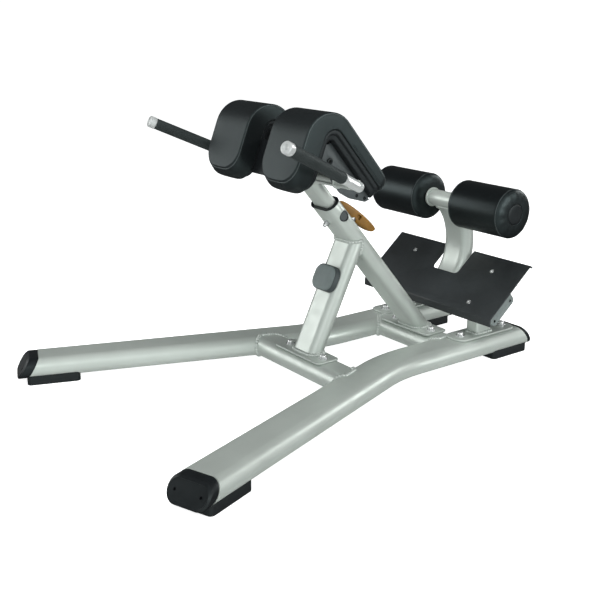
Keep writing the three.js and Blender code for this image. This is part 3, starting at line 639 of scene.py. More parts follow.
def make_bolt(label):
    """A domed socket-head bolt on a flat washer and a lock washer."""
    low, high = (Vector(corner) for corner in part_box(label))
    foot = Vector(((low.x + high.x) / 2, (low.y + high.y) / 2, PLATE_TOP + 0.0002))
    washer = [(0, 0), (0.0135, 0), (0.0135, 0.0012), (0.0130, 0.0017), (0, 0.0017)]
    lock = [(0, 0.0017), (0.0098, 0.0017), (0.0098, 0.0036), (0, 0.0036)]
    for kind, profile, metal in (("washer", washer, CHROME), ("lock_washer", lock, STEEL)):
        build(f"{label}_{kind}", turned(profile, foot, Z), metal, label, False, 30)
    dome = [(0, 0.0036), (0.0088, 0.0036), (0.0089, 0.0065)]
    dome += arc(0.0024, 0.0058, 0.0066, 6, 90) + [(0, 0.0124)]
    head = build(f"{label}_head", turned(dome, foot, Z), CHROME, label, sharp=40)
    hexagon = prism(circle(0.0034, 6), foot + Z * 0.008, X, Y, 0.01)
    return cut(head, hexagon, sharp=30)


def make_base():
    trees = {side: tree_of(make_leg(name, side)) for name, side in SIDES}
    for name, side in SIDES:
        for rear in (False, True):
            make_cap(name, side, rear)
            make_foot(name, side, rear)
        make_plate(f"side_plate_{name}", 0.030)
    for kind in ("front", "rear"):
        make_crossbar(f"crossbar_{kind}", trees)
        make_plate(f"base_plate_{kind}", 0.012)
    for label in [node for node in frame["nodes"] if node.startswith("bolt_")]:
        make_bolt(label)


# ---- post and main tube

def level_end(outline, place):
    """A ring where a leaning tube meets the plate, from an outline in the tube's own section."""
    ring = []
    for p in outline:
        low, high = place(p.x, 0, p.y), place(p.x, 1, p.y)
        share = (PLATE_TOP + GAP - low.z) / (high.z - low.z)
        ring.append(low.lerp(high, share))
    return ring


def across_tube(place, up, outline):
    return [place(p.x, up, p.y) for p in outline]


SIGHT_HOLE = (0.509, 0.002)  # up and out of the main tube


def make_main_tube():
    outer, inner = tube_walls(*TUBE)
    foot = level_end(outer, on_tube)
    lip, top = 0.0012, 0.554
    rings = [foot, across_tube(on_tube, top - lip, outer),
             across_tube(on_tube, top, flat_oval(TUBE[0] - lip, TUBE[1] - lip)),
             across_tube(on_tube, top, inner), level_end(inner, on_tube)]
    tube = build("main_tube_body", loft(rings, wrap=True), SILVER, "main_tube", sharp=50)
    tree = tree_of(tube)
    up, out = SIGHT_HOLE
    cut(tube, rod(0.016, on_tube(0.03, up, out), on_tube(0.07, up, out), 64), sharp=40)
    weld("main_tube_weld", foot, "main_tube")
    paint_sight_hole_shade()
    return tree


def paint_sight_hole_shade():
    """Painted shade in the hole in the tube's rounded side: a black rim on its wall and a grey floor just
    inside it.
    """
    (up, out), half = SIGHT_HOLE, TUBE[1] / 2

    def ring(radius, inset):
        points = []
        for p in circle(radius):
            reach = sqrt((half - inset) ** 2 - (out + p.y) ** 2)
            points.append(on_tube(half + reach, up + p.x, out + p.y))
        return points

    # The black rim paints the shade on the hole's wall.
    rim = [ring(0.0158, 0.0006), ring(0.0158, 0.0032), ring(0.0138, 0.0032), ring(0.0138, 0.0006)]
    build("sight_hole_painted_shade_rim", loft(rim, wrap=True), PLASTIC, "main_tube", False, 40)
    # The grey floor paints the shade of the tube's inside, seen through the hole.
    floor = [ring(0.0137, 0.0022), ring(0.0137, 0.0030)]
    build("sight_hole_painted_shade_floor", loft(floor), GREY, "main_tube", False, 40)


def make_post(tree):
    outer, inner = tube_walls(*TUBE)
    foot = level_end(outer, on_post)
    inner_foot = level_end(inner, on_post)
    head = coped(tree, across_tube(on_post, 0.1, outer), POST_UP)
    inner_head = coped(tree, across_tube(on_post, 0.1, inner), POST_UP, 0.004)
    shape = loft([foot, head, inner_head, inner_foot], wrap=True)
    build("front_post_body", shape, SILVER, "front_post", sharp=50)
    weld("front_post_foot_weld", foot, "front_post")
    weld("front_post_head_weld", head, "front_post", 0.004)


def make_bushing():
    """The black plastic mouth of the main tube, round the slide tube."""
    clear = flat_oval(SLIDE[0] + 2 * GAP, SLIDE[1] + 2 * GAP)

    def sized(grow, up):
        return across_tube(on_tube, up, flat_oval(TUBE[0] + 2 * grow, TUBE[1] + 2 * grow))

    rings = [across_tube(on_tube, 0.5262, flat_oval(0.0930, 0.0430)),
             across_tube(on_tube, 0.5541, flat_oval(0.0930, 0.0430)),
             sized(0.0002, 0.5543), sized(0.0014, 0.5550), sized(0.0016, 0.5562)]
    rings += [sized(0.0016 - 0.0024 * (1 - cos(radians(a))),
                    0.5562 + 0.0024 * sin(radians(a))) for a in range(15, 91, 15)]
    rings += [across_tube(on_tube, 0.5584, flat_oval(0.0870, 0.0370)),
              across_tube(on_tube, 0.5570, clear), across_tube(on_tube, 0.5262, clear)]
    build("tube_bushing_ring", loft(rings, wrap=True), PLASTIC, "tube_bushing", sharp=50)


def make_set_screw():
    """A cup-point screw with its lock nut on the front face of the main tube."""
    front = -OFF_TUBE
    base = on_tube(-0.010, 0.499, -0.0252)
    side, other = frame_of(front)
    nut = prism(circle(0.0098, 6), base, side, other, 0.006)
    lock = build("set_screw_nut", nut, STEEL, "set_screw", False, 30)
    bevel(lock, 0.0008, 2)
    screw = [(0, 0), (0.0062, 0), (0.0062, 0.0135), (0.0050, 0.016), (0, 0.016)]
    shaft = build("set_screw_shaft", turned(screw, base, front, 32), CHROME, "set_screw", sharp=30)
    socket = prism(circle(0.0030, 6), base + front * 0.011, side, other, 0.01)
    cut(shaft, socket, sharp=30)


def make_badge():
    """A blank name badge: a dark body, a lighter face and a recessed band between two ticks."""
    up, thick, surface = 0.212, 0.021, TUBE[1] / 2

    def layers(*steps):
        rings = []
        for inset, out in steps:
            outline = rectangle(0.092 - 2 * inset, 0.076 - 2 * inset, 0.028 - inset)
            rings.append([on_post(p.x, up + p.y, surface + out) for p in outline])
        return loft(rings)

    body = layers((0, GAP), (0, thick - 0.006), (0.0008, thick - 0.0035), (0.004, thick - 0.0032))
    build("badge_body", body, BADGE_DARK, "badge", sharp=40)
    base = thick - 0.0032
    plate = layers((0.0022, base + 0.0001), (0.0022, base + 0.0012), (0.0030, base + 0.0022),
                   (0.0045, thick - 0.0003), (0.006, thick))
    face = build("badge_face", plate, BADGE, "badge", False, 40)
    band, tick = rectangle(0.070, 0.021, 0.004), rectangle(0.0016, 0.006, 0.0007, 20)
    marks = ((band, 0, 0.0012), (tick, 0.0275, 0.0008), (tick, -0.0275, 0.0008))
    cut(face, *[prism(mark, on_post(0, up + lift, surface + thick - deep), X, POST_UP, -0.01)
                for mark, lift, deep in marks], sharp=30)
    bevel(face, 0.0004, 2, 50, 30)


def make_upright():
    tree = make_main_tube()
    make_post(tree)
    make_bushing()
    make_set_screw()
    make_badge()


make_base()
make_upright()


# ---- spring plunger and its lever

PLUNGER_UP = 0.450
PIN_HOLE, HOUSING_RADIUS, HOUSING_TOP = 0.0050, 0.0135, 0.0456
LEVER_SPOT = on_tube(0, 0.438, 0.058)
LEVER_TILT = radians(12)
LEVER_ALONG = -UP_TUBE * cos(LEVER_TILT) + OFF_TUBE * sin(LEVER_TILT)
LEVER_OUT = LEVER_ALONG.cross(X).normalized()
LEVER_OUT *= 1 if LEVER_OUT.dot(OFF_TUBE) > 0 else -1


def make_housing():
    base = on_tube(0, PLUNGER_UP, 0)
    foot = TUBE[1] / 2 + GAP
    profile = [(PIN_HOLE, foot), (HOUSING_RADIUS, foot), (0.0130, 0.0275), (0.0130, 0.0440),
               (0.0118, HOUSING_TOP), (PIN_HOLE, HOUSING_TOP), (PIN_HOLE, foot)]
    build("plunger_housing_body", turned(profile, base, OFF_TUBE, 48), STEEL, "plunger_housing")
    for node in ("plunger_pin", "plunger_spring"):
        paint_node(node, STEEL)


def paint_node(node, material):
    """Gives a CAD node that stays a material."""
    mesh = frame["nodes"][node].data
    mesh.materials.clear()
    mesh.materials.append(material)


def lever_point(across, along, out):
    return LEVER_SPOT + X * across + LEVER_ALONG * along + LEVER_OUT * out


def make_lever():
    """A boat-shaped pull handle, deep towards the tube, with a bore for the plunger."""
    half, wide, count, steps = 0.081, 0.018, 40, 48
    rings = []
    for i in range(steps + 1):
        turn = pi * i / steps
        along, fat = cos(turn) * half, sin(turn)
        ring = []
        for k in range(count):
            angle = 2 * pi * k / count
            c, s = cos(angle), sin(angle)
            x = copysign(abs(c) ** 0.85, c) * wide * max(fat, 0.02) ** 0.95
            depth = 0.010 if s > 0 else 0.024
            z = copysign(abs(s) ** 0.95, s) * depth * max(fat, 0.02) ** 0.9
            ring.append(lever_point(x, along, z))
        rings.append(ring)
    lever = build("release_lever_blade", loft(rings), OCHRE, "release_lever", sharp=60)
    base = on_tube(0, PLUNGER_UP, 0)
    cut(lever, rod(HOUSING_RADIUS + 0.0011, base, base + OFF_TUBE * (HOUSING_TOP + 0.001)),
        rod(PIN_HOLE, base, base + OFF_TUBE * 0.0553), sharp=40)
    pocket = rounded([(-0.022, -0.005, 0.002), (-0.002, -0.008, 0.002), (-0.002, 0.006, 0.002),
                      (-0.022, 0.005, 0.002)], 15)
    for _, side in SIDES:
        spot = lever_point(side * 0.0165, 0.004, -0.005)
        cut(lever, centred(prism(pocket, spot, LEVER_ALONG, LEVER_OUT, 0.012), X, spot), sharp=40)


def centred(shape, axis, spot):
    """A prism moved along an axis so that its depth is centred on a spot."""
    verts, faces = shape
    heights = [(v - spot).dot(axis) for v in verts]
    shift = axis * (-(max(heights) + min(heights)) / 2)
    return [v + shift for v in verts], faces


# ---- sliding carriage

WING = Vector((0, BEND_Y - 0.1972, 0.5992))
BAR_RADIUS = 0.0135


def wing_ring(x, grow=0.0):
    outline = rectangle(0.038 + 2 * grow, 0.026 + 2 * grow, 0.010 + grow)
    return [Vector((x, WING.y + p.x, WING.z + p.y)) for p in outline]


def handle_place(side):
    """Where a handle bar meets the wing, and the direction of the bar."""
    return WING + X * (side * 0.2416), Vector((side * 0.262, -0.875, 0.406)).normalized()


def make_slide_tube():
    outer, inner = tube_walls(*SLIDE)
    low, high, lip = 0.300, 0.692, 0.001
    rings = [across_tube(on_tube, low, outer), across_tube(on_tube, high - lip, outer),
             across_tube(on_tube, high, flat_oval(SLIDE[0] - lip, SLIDE[1] - lip)),
             across_tube(on_tube, high, inner), across_tube(on_tube, low, inner)]
    tube = build("slide_tube_body", loft(rings, wrap=True), SILVER, "slide_tube", sharp=50)
    tools = [rod(0.006, on_tube(0, up, 0.008), on_tube(0, up, 0.030), 32)
             for up in (0.330, 0.370, 0.410, 0.450, 0.490)]
    tools.append(loft([wing_ring(-0.06, GAP), wing_ring(0.06, GAP)]))
    cut(tube, *tools, sharp=40)


def make_wing():
    """The bar across the carriage, coped to the two handles, with its welds."""
    bars = {}
    for name, side in SIDES:
        base, along = handle_place(side)
        bar = rod(BAR_RADIUS + GAP, base - along * 0.06, base + along * 0.06, 64)
        bars[side] = BVHTree.FromPolygons(*bar)
    middle_ring, inner = wing_ring(0), wing_ring(0, -WALL)
    right, left = coped(bars[1], middle_ring, X), coped(bars[-1], middle_ring, -X)
    rings = [left, middle_ring, right, coped(bars[1], inner, X, 0.003), coped(bars[-1], inner, -X, 0.003)]
    build("wing_tube_body", loft(rings, wrap=True), SILVER, "wing_tube", sharp=50)
    weld("wing_tube_weld_right", right, "wing_tube", 0.0026)
    weld("wing_tube_weld_left", left, "wing_tube", 0.0026)
    slide = BVHTree.FromPolygons(*loft([across_tube(on_tube, up, flat_oval(*SLIDE)) for up in (0.5, 0.7)]))
    for name, side in SIDES:
        weld(f"wing_slide_weld_{name}", coped(slide, wing_ring(side * 0.1), -X * side), "wing_tube", 0.0026)


def make_handle(name, side):
    """An aluminium bar with a milled flute, a ribbed rubber grip and a dished end knob."""
    base, along = handle_place(side)
    full, bore, end = BAR_RADIUS, 0.0075, 0.291
    bar = [(0, -0.028)] + [(full * sin(a), -0.028 + 0.009 * (1 - cos(a)))
                           for a in [radians(t) for t in range(10, 91, 10)]]
    bar += [(full, 0.0588), (0.0142, 0.0594), (0.0148, 0.0606), (0.0148, 0.0630), (full, 0.0636)]
    bar += [(full, end), (bore, end), (bore, -0.016), (0, -0.016)]
    rod_piece = build(f"handle_bar_{name}_tube", turned(bar, base, along), ALUMINIUM, f"handle_bar_{name}")
    flute_out = X * side * 0.9 + Z * 0.5
    flute_out = (flute_out - along * flute_out.dot(along)).normalized()
    across = along.cross(flute_out).normalized()
    flat = rectangle(0.013, 0.070, 0.0060)
    start = base + along * 0.019 + flute_out * 0.0088
    cut(rod_piece, facing(flat, start, across, along, flute_out, 0.01))

    inside, rib, valley, pitch, count = full + GAP, 0.0152, 0.0147, 0.0062, 35
    sleeve = [(inside, 0.064)] + arc(inside, 0.0654, 0.0014, -90, 0, 4)
    for k in range(count):
        low = 0.0672 + k * pitch
        sleeve += [(rib, low), (rib, low + pitch - 0.0016), (valley, low + pitch - 0.0012),
                   (valley, low + pitch - 0.0004)]
    sleeve += [(rib, 0.2888), (0.0146, 0.2906), (inside, 0.2907), (inside, 0.064)]
    build(f"handle_grip_{name}_sleeve", turned(sleeve, base, along, 56), GRIP, f"handle_grip_{name}",
          sharp=25)

    low, high = 0.2913, 0.3110
    knob = [(0, low), (inside, low)] + arc(inside, low + 0.002, 0.0020, -80, 0, 4)
    knob += arc(0.0123, high - 0.0035, 0.0035, 0, 80, 8) + [(0.0108, high), (0.0086, high - 0.0002)]
    knob += [(0.0074, high - 0.0014), (0.0050, high - 0.0042), (0, high - 0.0052)]
    tip = build(f"handle_tip_{name}_knob", turned(knob, base, along, 64), ALUMINIUM,
                f"handle_tip_{name}", sharp=30)
    side_dir, other = frame_of(along)
    flats = []
    for k in range(6):
        turn = radians(60 * k + 20)
        out = side_dir * cos(turn) + other * sin(turn)
        spot = base + along * 0.3014 + out * 0.0149
        flats.append(facing(rectangle(0.007, 0.009, 0.0030, 15), spot,
                                   along.cross(out).normalized(), along, out, 0.006))
    cut(tip, *flats, sharp=30)


def facing(outline, origin, across, along, out, depth):
    """A prism of an outline that is pushed the way that `out` points."""
    shape = prism(outline, origin, across, along, depth)
    flipped = across.cross(along).dot(out) < 0
    return ([v + out * depth for v in shape[0]], shape[1]) if flipped else shape


BRACKET_X = 0.172


def make_bracket(name, side):
    """A bent plate: a web with holes beside the main tube's line and a ledge under the board."""
    top = 0.0327
    web = [(top, 0.781, 0.003), (0.014, 0.790, 0.006), (-0.014, 0.772, 0.012), (-0.027, 0.700, 0.010),
           (-0.027, 0.660, 0.014), (-0.014, 0.626, 0.014), (0.014, 0.584, 0.010), (top, 0.560, 0.010)]
    inner, outer = side * BRACKET_X, side * (BRACKET_X + 0.005)
    outline = rounded(web)
    shape = loft([[on_tube(x, p.y, p.x) for p in outline] for x in (inner, outer)])
    label = f"pad_bracket_{name}"
    plate = build(f"{label}_web", shape, GREY, label)
    hole = (0.748, 0.001)
    cut(plate, rod(0.006, on_tube(inner - side * 0.01, *hole), on_tube(outer + side * 0.01, *hole), 32),
        loft([wing_ring(side * 0.15, GAP), wing_ring(side * 0.2, GAP)]))
    bevel(plate, 0.0007, 2, 50)
    ledge = rounded([(side * -0.030, 0.572, 0.008), (side * -0.0002, 0.572, 0), (side * -0.0002, 0.772, 0),
                     (side * -0.030, 0.772, 0.008)], 10)
    low = [on_tube(inner + p.x, p.y, top - 0.005) for p in ledge]
    flange = build(f"{label}_ledge", loft([low, [p + OFF_TUBE * 0.005 for p in low]]), GREY, label, False)
    bevel(flange, 0.0007, 2, 50)
    for up in (600, 744):
        spot = on_tube(inner - side * 0.015, up / 1000, top - 0.0052)
        bolt_head(f"{label}_screw_{up}", spot, -OFF_TUBE, label, 0.0075)
    for up, out in ((615, 0.007), (590, 0.021)):
        bolt_head(f"{label}_plug_{up}", on_tube(outer + side * 0.0001, up / 1000, out), X * side, label,
                  0.0048)
    weld(f"{label}_weld", [on_tube(outer + side * 0.0012, t, n) for n, t in wing_on_web()], label, 0.0022)
    ring = [(0.0042, 0.0002), (0.0088, 0.0002), (0.0088, 0.0014)] + arc(0.0070, 0.0014, 0.0018, 0, 90, 5)
    ring += [(0.0050, 0.0032), (0.0042, 0.0024), (0.0042, 0.0002)]
    build(f"{label}_grommet", turned(ring, on_tube(outer, *hole), X * side, 40), PLASTIC, label, False, 40)


def wing_on_web():
    """The wing bar's outline in the web's own measures: out of and up the main tube."""
    return [((p - TUBE_BASE).dot(OFF_TUBE), (p - TUBE_BASE).dot(UP_TUBE)) for p in wing_ring(0, 0.0012)]


def bolt_head(name, spot, out, node, radius):
    """A black button-head screw with a hex socket."""
    top = radius * 0.7
    dome = [(0, 0), (radius, 0), (radius, radius * 0.12)]
    dome += arc(0, -radius * 0.28, radius * 1.06, 22, 62, 6) + [(radius * 0.36, top), (0, top)]
    head = build(name, turned(dome, spot, out, 40), PLASTIC, node, False, 40)
    cut(head, prism(circle(radius * 0.4, 6), spot + out * radius * 0.35, *frame_of(out), radius), sharp=30)


# ---- hip pads and their boards

PAD_IN, PAD_OUT = 0.054, 0.208
PAD_MIDDLE = (PAD_IN + PAD_OUT) / 2
PAD_HALF = (PAD_OUT - PAD_IN) / 2
FACE_BOTTOM = Vector((0, BEND_Y - 0.375, 0.599))
FACE_LEAN = radians(90 - 21.4)
FACE_UP = Vector((0, cos(FACE_LEAN), sin(FACE_LEAN)))
FACE_BACK = Vector((0, FACE_UP.z, -FACE_UP.y))
FACE_THICK, THIGH_THICK = 0.059, 0.0352
THIGH_OUT, THIGH_END = 0.0947, 0.576


def crest(back, out):
    """Where a line behind the pad's face meets a line above the main tube."""
    start = FACE_BOTTOM + FACE_BACK * back
    offset = (TUBE_BASE + OFF_TUBE * out - start).dot(OFF_TUBE)
    return start + FACE_UP * (offset / FACE_UP.dot(OFF_TUBE))


def hook(back, out, radius, bottom, end):
    """A line up the face, round the crown and down the thigh, as matched straight and arc parts."""
    start = FACE_BOTTOM + FACE_UP * bottom + FACE_BACK * back
    top = crest(back, out)
    finish = TUBE_BASE + OFF_TUBE * out + UP_TUBE * end
    down = -UP_TUBE
    turn = acos(FACE_UP.dot(down))
    reach = radius * tan(turn / 2)
    inward = (down - FACE_UP * down.dot(FACE_UP)).normalized()
    centre = top - FACE_UP * reach + inward * radius
    curve = [centre - inward * radius * cos(turn * k / 24) + FACE_UP * radius * sin(turn * k / 24)
             for k in range(25)]
    return start, curve, finish


def hook_stations(outer, inner, spacing):
    """Pairs of outer and inner points along the hook."""
    def between(first, last, more):
        steps = round((last[0] - first[0]).length / spacing)
        return [tuple(a.lerp(b, k / steps) for a, b in zip(first, last)) for k in range(steps + more)]

    starts, curves, ends = zip(outer, inner)
    curve = list(zip(*curves))
    return between(starts, curve[0], 0) + curve[:-1] + between(curve[-1], ends, 1)


def round_off(distance, radius):
    """How far an edge stands back at a distance from the end of a rounded corner."""
    if distance >= radius:
        return 0.0
    return radius - sqrt(max(0.0, radius ** 2 - (radius - distance) ** 2))


class HookPad:
    """The skin of one hip pad: a slab up the front, over the crown and down the thigh.

    Each ring has an outer row, a side, an inner row and the other side, measured across the pad (x)
    and from its outer face inwards (v). The face ends above the pad's bottom, and the side panel
    runs on round the two bottom corners and below it."""

    ROW, SIDE = 33, 11
    BOX_HIGH, BOX_DEEP, BOX_POWER = 0.019, 0.028, 1.7
    END_OUTER, END_INNER, END_PLAN = 0.018, 0.006, 0.028
    CORNER, WELT_DEEP = 0.053, 0.0042
    ROOM_SIDE, ROOM_OUT = 0.0012, 0.0008  # left for the swelling

    def __init__(self):
        room = self.ROOM_OUT
        self.half = PAD_HALF - self.ROOM_SIDE
        outer = hook(room, THIGH_OUT - room, 0.079 - room, 0, THIGH_END)
        inner = hook(FACE_THICK, THIGH_OUT - THIGH_THICK, 0.032, 0, THIGH_END)
        self.pairs = self.with_end_steps(hook_stations(outer, inner, 0.0052))
        self.length = self.pairs[-1][2]

    def with_end_steps(self, pairs):
        """Stations with their run from the bottom, closer together where the ends round off."""
        runs, run = [0.0], 0.0
        for (a, _), (b, _) in zip(pairs, pairs[1:]):
            run += (b - a).length
            runs.append(run)

        def at(target):
            i = max(k for k, r in enumerate(runs) if r <= target + 1e-9)
            i = min(i, len(runs) - 2)
            part = (target - runs[i]) / (runs[i + 1] - runs[i])
            return pairs[i][0].lerp(pairs[i + 1][0], part), pairs[i][1].lerp(pairs[i + 1][1], part)

        box = self.BOX_HIGH
        bottom = [0.0, 0.0005, 0.002, 0.004, 0.007, 0.011, 0.015, box - 0.0028, box - 0.0012, box,
                  box + 0.0012, box + 0.003, box + 0.007, box + 0.012, box + 0.018, box + 0.024,
                  box + 0.030, box + 0.037]
        end = [0.0, 0.0006, 0.002, 0.004, 0.007, 0.011, 0.015, 0.020, 0.026]
        between = [r for r in runs if bottom[-1] + 0.003 < r < run - end[-1] - 0.003]
        return [(*at(r), r) for r in bottom + between + [run - e for e in reversed(end)]]

    def front_edge(self, run):
        """How deep the skin starts at a height above the bottom."""
        if run >= self.BOX_HIGH:
            return 0.0
        return self.BOX_DEEP * (1 - (run / self.BOX_HIGH) ** (1 / self.BOX_POWER))

    def width(self, run, v):
        """Half the pad's width at a run along it and a depth v."""
        rest = max(0.0, 1 - v / self.BOX_DEEP) ** self.BOX_POWER
        corner = self.CORNER
        bottom = round_off(max(0.0, run - self.BOX_HIGH * rest), corner)
        back = self.length - run
        end = round_off(max(0.0, back - round_off(v, self.END_OUTER)), self.END_PLAN)
        return self.half - bottom - end

    def span(self, index):
        """The run and the outer and inner depths of a ring."""
        outer, inner, run = self.pairs[index]
        back = self.length - run
        low = max(self.front_edge(run), round_off(back, self.END_OUTER))
        high = (inner - outer).length - max(round_off(run, 0.008), round_off(back, self.END_INNER))
        return run, low, high

    @staticmethod
    def shares(count, length):
        """Places along a row: two close to each end, the rest even between them."""
        tight, near, inside = 0.0015, 0.004, count - 6
        even = [near + (length - 2 * near) * (k + 1) / (inside + 1) for k in range(inside)]
        return [0, tight, near] + even + [length - near, length - tight, length]

    def ring(self, index, side):
        outer, inner, _ = self.pairs[index]
        run, low, high = self.span(index)
        through = (inner - outer).normalized()
        chamfer = 0.0014
        w = self.width(run, low)
        row = [(x - w, low) for x in self.shares(self.ROW, 2 * w)]
        row[0], row[-1] = (-w + chamfer, low + chamfer), (w - chamfer, low + chamfer)
        depths = [low + d for d in self.shares(self.SIDE + 2, high - low)][1:-1]
        right = [(self.width(run, v), v) for v in depths]
        w = self.width(run, high)
        back = [(w - x, high) for x in self.shares(self.ROW, 2 * w)]
        back[0], back[-1] = (w - chamfer, high - chamfer), (-w + chamfer, high - chamfer)
        left = [(-x, v) for x, v in reversed(right)]
        return [outer + X * (side * PAD_MIDDLE + x) + through * v for x, v in row + right + back + left]

    def ring_pins(self):
        """The places in a ring that the seams and the board hold."""
        row, side = self.ROW, self.SIDE
        seams = {0, 1, row - 2, row - 1, row, 2 * row + 2 * side - 1}
        back = set(range(row + side - 1, 2 * row + side + 1))
        return seams | back

    def skin(self, side):
        """Vertices, faces and pinned vertices of the closed skin, with a grid over each end."""
        rings = [self.ring(i, side) for i in range(len(self.pairs))]
        verts, faces = loft(rings, caps=False)
        count = len(rings[0])
        pins = {i * count + k for i in range(len(rings)) for k in self.ring_pins()}
        seam_ring = min(range(len(self.pairs)), key=lambda i: abs(self.pairs[i][2] - self.BOX_HIGH))
        pins |= {seam_ring * count + k for k in range(self.ROW)}
        for base in (0, (len(rings) - 1) * count):
            self.close(verts, faces, base)
        return (verts, faces), sorted(pins)

    def close(self, verts, faces, base):
        """Covers an end ring with a grid."""
        row, side = self.ROW, self.SIDE
        grid = {}
        for i in range(row):
            grid[i, 0] = base + i
            grid[i, side + 1] = base + 2 * row + side - 1 - i
        for j in range(1, side + 1):
            grid[row - 1, j] = base + row + j - 1
            grid[0, j] = base + 2 * row + 2 * side - j
        for i in range(1, row - 1):
            for j in range(1, side + 1):
                a, b = i / (row - 1), j / (side + 1)
                low, high = verts[grid[i, 0]], verts[grid[i, side + 1]]
                left, right = verts[grid[0, j]], verts[grid[row - 1, j]]
                corners = [verts[grid[i, j]] for j in (0, side + 1) for i in (0, row - 1)]
                flat = (corners[0] * (1 - a) * (1 - b) + corners[1] * a * (1 - b)
                        + corners[2] * (1 - a) * b + corners[3] * a * b)
                grid[i, j] = len(verts)
                verts.append(low * (1 - b) + high * b + left * (1 - a) + right * a - flat)
        for i in range(row - 1):
            for j in range(side + 1):
                faces.append((grid[i, j], grid[i + 1, j], grid[i + 1, j + 1], grid[i, j + 1]))

    def spot(self, side, run, x):
        """The place at a run along the pad, as deep as the welt lies."""
        i = max(k for k, pair in enumerate(self.pairs[:-1]) if pair[2] <= run + 1e-9)
        (outer, inner, start), (outer_next, inner_next, end) = self.pairs[i], self.pairs[i + 1]
        part = (run - start) / (end - start)
        front, back = outer.lerp(outer_next, part), inner.lerp(inner_next, part)
        return front + X * (side * PAD_MIDDLE + x) + (back - front).normalized() * self.WELT_DEEP

    def seam(self, side):
        """The welt's line: down one side of the face panel, round the bottom and up the other."""
        low = self.BOX_HIGH * (1 - self.WELT_DEEP / self.BOX_DEEP) ** self.BOX_POWER
        half = [(low, 0.0)]
        for turn in range(0, 91, 6):
            angle = radians(turn)
            half.append((low + self.CORNER * (1 - cos(angle)),
                         self.half - self.CORNER * (1 - sin(angle))))
        run = half[-1][0] + 0.005
        while run < self.length - 0.014:
            half.append((run, self.width(run, self.WELT_DEEP)))
            run += 0.005
        left = [self.spot(side, run, -x) for run, x in reversed(half)]
        return left[:-1] + [self.spot(side, run, x) for run, x in half]

    def side_seam(self, side, which):
        """The seam near the inner edge of a side panel, down the thigh."""
        points = []
        for i, (outer, inner, _) in enumerate(self.pairs):
            run, _, high = self.span(i)
            if run > 0.35 and self.length - run > 0.010:
                through = (inner - outer).normalized()
                x = side * PAD_MIDDLE + which * self.width(run, high)
                points.append(outer + X * x + through * (high - 0.0065))
        return points


def swell(piece, pins, pressure, cap):
    """Fills a closed skin like a pad: its panels swell between the pinned seams, up to a cap."""
    frames = 20
    rest = [v.co.copy() for v in piece.data.vertices]
    group = piece.vertex_groups.new(name="pins")
    group.add(pins, 1.0, "REPLACE")
    cloth = piece.modifiers.new("cloth", "CLOTH")
    cloth.settings.use_pressure = True
    cloth.settings.uniform_pressure_force = pressure
    cloth.settings.effector_weights.gravity = 0
    cloth.settings.vertex_group_mass = "pins"
    cloth.settings.quality = 5
    cloth.point_cache.frame_start, cloth.point_cache.frame_end = 1, frames
    for step in range(1, frames + 1):
        scene.frame_set(step)
    graph = bpy.context.evaluated_depsgraph_get()
    swollen = bpy.data.meshes.new_from_object(piece.evaluated_get(graph))
    piece.modifiers.clear()
    piece.vertex_groups.clear()
    for vertex, co in zip(swollen.vertices, rest):
        move = vertex.co - co
        if move.length > 0:
            vertex.co = co + move * (cap * tanh(move.length / cap) / move.length)
    piece.data = swollen
    scene.frame_set(1)
    subdivide = piece.modifiers.new("subdivide", "SUBSURF")
    subdivide.levels = 1
    subdivide.render_levels = 1
    apply(piece)
    piece.data.shade_smooth()


def settle(tree, path, sink=0.0):
    """A path laid on a skin, sunk a little below it."""
    laid_path = []
    for point in path:
        spot, normal = tree.find_nearest(point)[:2]
        laid_path.append(spot - normal * sink)
    return laid_path


def groove(piece, paths, width, depth):
    """Pulls the skin in along seams."""
    points = [p for path in paths for p in resampled(path, 0.0015, False)]
    near = KDTree(len(points))
    for i, point in enumerate(points):
        near.insert(point, i)
    near.balance()
    moves = []
    for vertex in piece.data.vertices:
        distance = near.find(vertex.co)[2]
        if distance < width:
            share = 1 - distance / width
            moves.append((vertex.index, vertex.normal * (-depth * share * share)))
    for index, move in moves:
        piece.data.vertices[index].co += move


def mirror_pad(made, label):
    """Makes the left pad from the right one's pieces."""
    for kind, piece in made.items():
        mesh = piece.data.copy()
        mesh.transform(Matrix.Scale(-1, 4, X))
        mesh.flip_normals()
        twin = placed(f"{label}_left_{kind}", mesh)
        join_in(twin, f"{label}_left", "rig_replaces" in piece)


def make_hip_pads():
    """One pad is filled, then its panels' seams are laid; the other is its mirror image."""
    side = 1
    pad = HookPad()
    shape, pins = pad.skin(side)
    skin = build("hip_pad_right_skin", shape, VINYL, "hip_pad_right", sharp=180)
    swell(skin, pins, 4.0, 0.0052)
    face_line = resampled(pad.seam(side), 0.003, False)
    side_lines = [resampled(pad.side_seam(side, which), 0.003, False) for which in (1, -1)]
    tree = tree_of(skin)
    side_lines = [settle(tree, line) for line in side_lines]
    groove(skin, side_lines, 0.005, 0.0014)
    groove(skin, [face_line], 0.0040, 0.0012)
    tree = tree_of(skin)
    made = {"skin": skin}
    # The welt's lighter vinyl paints a highlight along the face panel's edge.
    for kind, line, radius, material in (("welt", face_line, 0.0013, WELT_PAINTED_HIGHLIGHT),
                                         ("seam_outer", side_lines[0], 0.0009, SEAM),
                                         ("seam_inner", side_lines[1], 0.0009, SEAM)):
        shape = bead(settle(tree, line), radius, False, pitch=0.0025)
        made[kind] = build(f"hip_pad_right_{kind}", shape, material, "hip_pad_right", False, 60)
    mirror_pad(made, "hip_pad")


